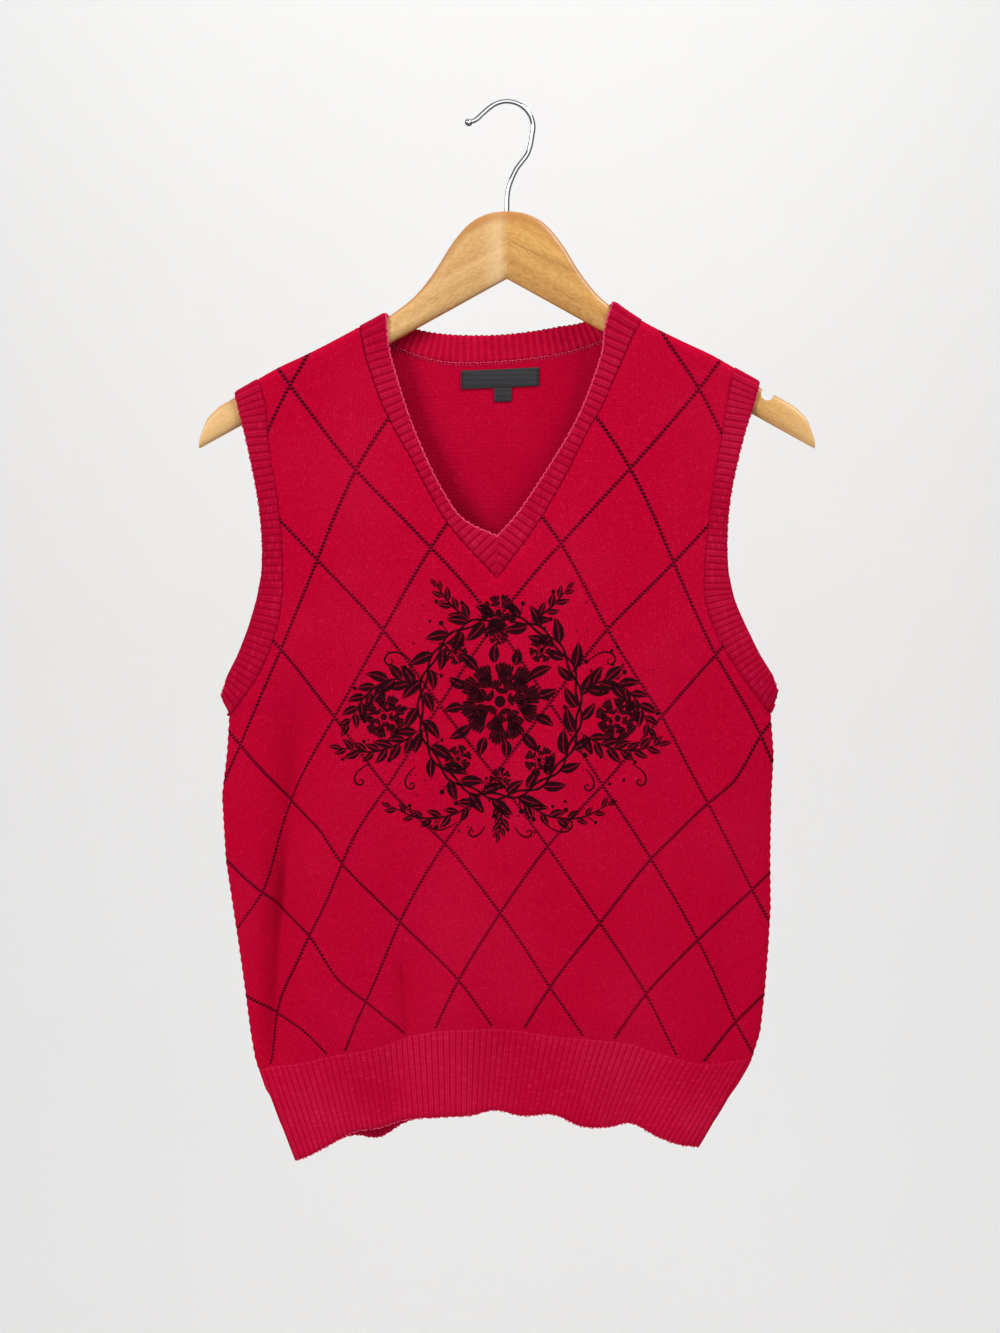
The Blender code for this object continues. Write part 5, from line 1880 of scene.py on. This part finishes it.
    def hook(self) -> Object:
        """The wire: up from the bore, round the crown and down to its ball."""
        radius, turns = 19.0, np.radians((-15, 0, 14, 28, 43, 57, 72, 86, 101, 115, 130))
        heights = WIRE_RADIUS - radius + radius * np.sin(turns)
        arc = np.column_stack([radius * np.cos(turns), heights])
        stem = ((0, -107.6), (0, -78), (1.0, -62), (6.5, -48), (15.5, -35))
        tail = ((-17.5, -7.2), (-22.4, -11.6), (-27.6, -13.6))
        route = curve_through(np.vstack([stem, arc, tail]), 200)
        way = np.gradient(route, axis=0)
        way /= np.linalg.norm(way, axis=1)[:, None]
        turns = np.linspace(0, 2 * math.pi, 25)
        side = WIRE_RADIUS * np.cos(turns)[None, :]
        x = route[:, :1] - way[:, 1:] * side
        z = route[:, 1:] + way[:, :1] * side
        y = np.broadcast_to(WIRE_RADIUS * np.sin(turns)[None, :], x.shape)
        bm = bmesh.new()
        place_grid(bm, np.stack([x, y, z], axis=-1))
        bmesh.ops.remove_doubles(bm, verts=bm.verts, dist=WELD)
        bmesh.ops.holes_fill(bm, edges=[edge for edge in bm.edges if edge.is_boundary])
        made = bmesh.ops.create_uvsphere(bm, u_segments=28, v_segments=18,
                                         radius=self.ball)["verts"]
        bmesh.ops.translate(bm, verts=made, vec=(route[-1, 0], 0, route[-1, 1]))
        bmesh.ops.recalc_face_normals(bm, faces=bm.faces)
        obj = finish_object("hook_wire", bm, self.finishes.chrome)
        obj.data.set_sharp_from_angle(angle=math.radians(40))
        return report(obj, "chrome", "hook")

    def build(self) -> Object:
        """Makes both halves and the hook, and returns the hook."""
        for side in Side:
            self.half(side)
        return self.hook()


@dataclass(frozen=True)
class SoftBox:
    """A square soft box."""

    name: str  # the lamp's name
    at: tuple[float, float, float]  # where it stands
    size: float  # the length of its side
    power: float  # its power, in watts
    aim: tuple[float, float, float] = (0.0, 0.0, -0.4)  # the place that it looks at


@dataclass
class Studio:
    """A plain pale sweep, soft light and the camera, in metres."""

    eye: tuple[float, float, float] = (-0.005, -2.0, -0.407)  # where the camera stands
    seen_height: float = 0.96  # how much height it sees at the vest
    plane_y: float = -0.008  # the y of the vest's middle
    wall_y: float = 3.4  # the y of the wall
    wall_height: float = 6.0  # how high the wall is
    floor_z: float = -1.55  # the height of the floor
    curve: float = 1.2  # the radius between floor and wall
    # the lamps that light the vest and the wall
    lights: tuple[SoftBox, ...] = (
        SoftBox("left_key", (-2.0, -1.8, 0.7), 0.9, 56),
        SoftBox("high_key", (1.6, -1.0, 1.8), 0.9, 66),
        SoftBox("wall_light", (0.0, 1.2, 2.5), 2.0, 45, (0.0, 3.4, -0.2)),
    )
    # what the chrome alone mirrors
    front_card: SoftBox = SoftBox("front_card", (0.35, -2.7, 0.1), 3.6, 82, (0.0, 0.0, -0.05))

    def camera(self) -> None:
        """Stands the camera straight in front."""
        data = bpy.data.cameras.new("camera")
        camera = bpy.data.objects.new("camera", data)
        camera.location = self.eye
        camera.rotation_euler = (math.pi / 2, 0, 0)
        data.lens = data.sensor_width * (self.plane_y - self.eye[1]) / self.seen_height
        bpy.context.scene.collection.objects.link(camera)
        bpy.context.scene.camera = camera

    def sweep(self) -> None:
        """A floor that curves up into a wall, far behind the vest."""
        g = Graph("matt_studio_paint")
        place = g.add("TexCoord", out="Object")
        cloud = g.add("TexNoise", {"Vector": place, "Scale": 1.5, "Detail": 2.0}, out="Fac")
        colour = g.add("Mix", {0: cloud, 6: linear("#F3F2F1"), 7: linear("#F7F6F5")},
                       data_type="RGBA", out=2)
        g.add("OutputMaterial", g.add("BsdfPrincipled", {"Base Color": colour, "Roughness": 0.95}))
        radius, turns = self.curve, np.linspace(-math.pi / 2, 0, 24)
        profile = [(-4.5, 0)] + [
            (self.wall_y - radius + radius * math.cos(turn), radius + radius * math.sin(turn))
            for turn in turns
        ] + [(self.wall_y, self.wall_height)]
        rows = np.array([[(x, y, self.floor_z + z) for x in (-5.0, 5.0)] for y, z in profile])
        bm = bmesh.new()
        place_grid(bm, rows / MM)
        obj = finish_object("studio_sweep", bm, g.material)
        obj.visible_glossy = False  # so that the chrome's edges stay dark against the pale wall

    def light(self, box: SoftBox) -> Object:
        """Stands a soft box in the studio, and returns its lamp."""
        data = bpy.data.lights.new(box.name, "AREA")
        data.shape, data.size, data.energy = "SQUARE", box.size, box.power
        lamp = bpy.data.objects.new(box.name, data)
        lamp.location = box.at
        ahead = Vector(box.aim) - Vector(box.at)
        lamp.rotation_euler = ahead.to_track_quat("-Z", "Y").to_euler()
        bpy.context.scene.collection.objects.link(lamp)
        return lamp

    def card(self, hook: Object) -> None:
        """Stands a big pale card in front, for the chrome alone to mirror."""
        only = bpy.data.collections.new("seen_in_the_card")
        only.objects.link(hook)
        self.light(self.front_card).light_linking.receiver_collection = only

    def build(self) -> None:
        """Sets up the whole studio."""
        self.camera()
        self.sweep()
        scene = bpy.context.scene
        scene.view_settings.view_transform = "Standard"
        world = bpy.data.worlds.new("soft room")
        world.use_nodes = True
        back = world.node_tree.nodes["Background"]
        back.inputs["Color"].default_value = linear("#F2F3F5")
        back.inputs["Strength"].default_value = 0.22
        scene.world = world
        for box in self.lights:
            self.light(box)


def main() -> None:
    """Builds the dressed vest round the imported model."""
    logging.basicConfig(level=logging.INFO, format="%(message)s")
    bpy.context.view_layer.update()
    drape, finishes, studio = Drape(), Wardrobe(), Studio()
    studio.build()
    panels = Panels(drape, Lattice(), finishes)
    panels.build()
    bands = Bands(drape, panels, finishes)
    bands.build()
    Chains(drape, bands, finishes).build()
    Print(drape, panels.lattice, finishes).build()
    Label(drape, finishes).build()
    studio.card(Hanger(drape, finishes).build())


if __name__ == "__main__":
    main()
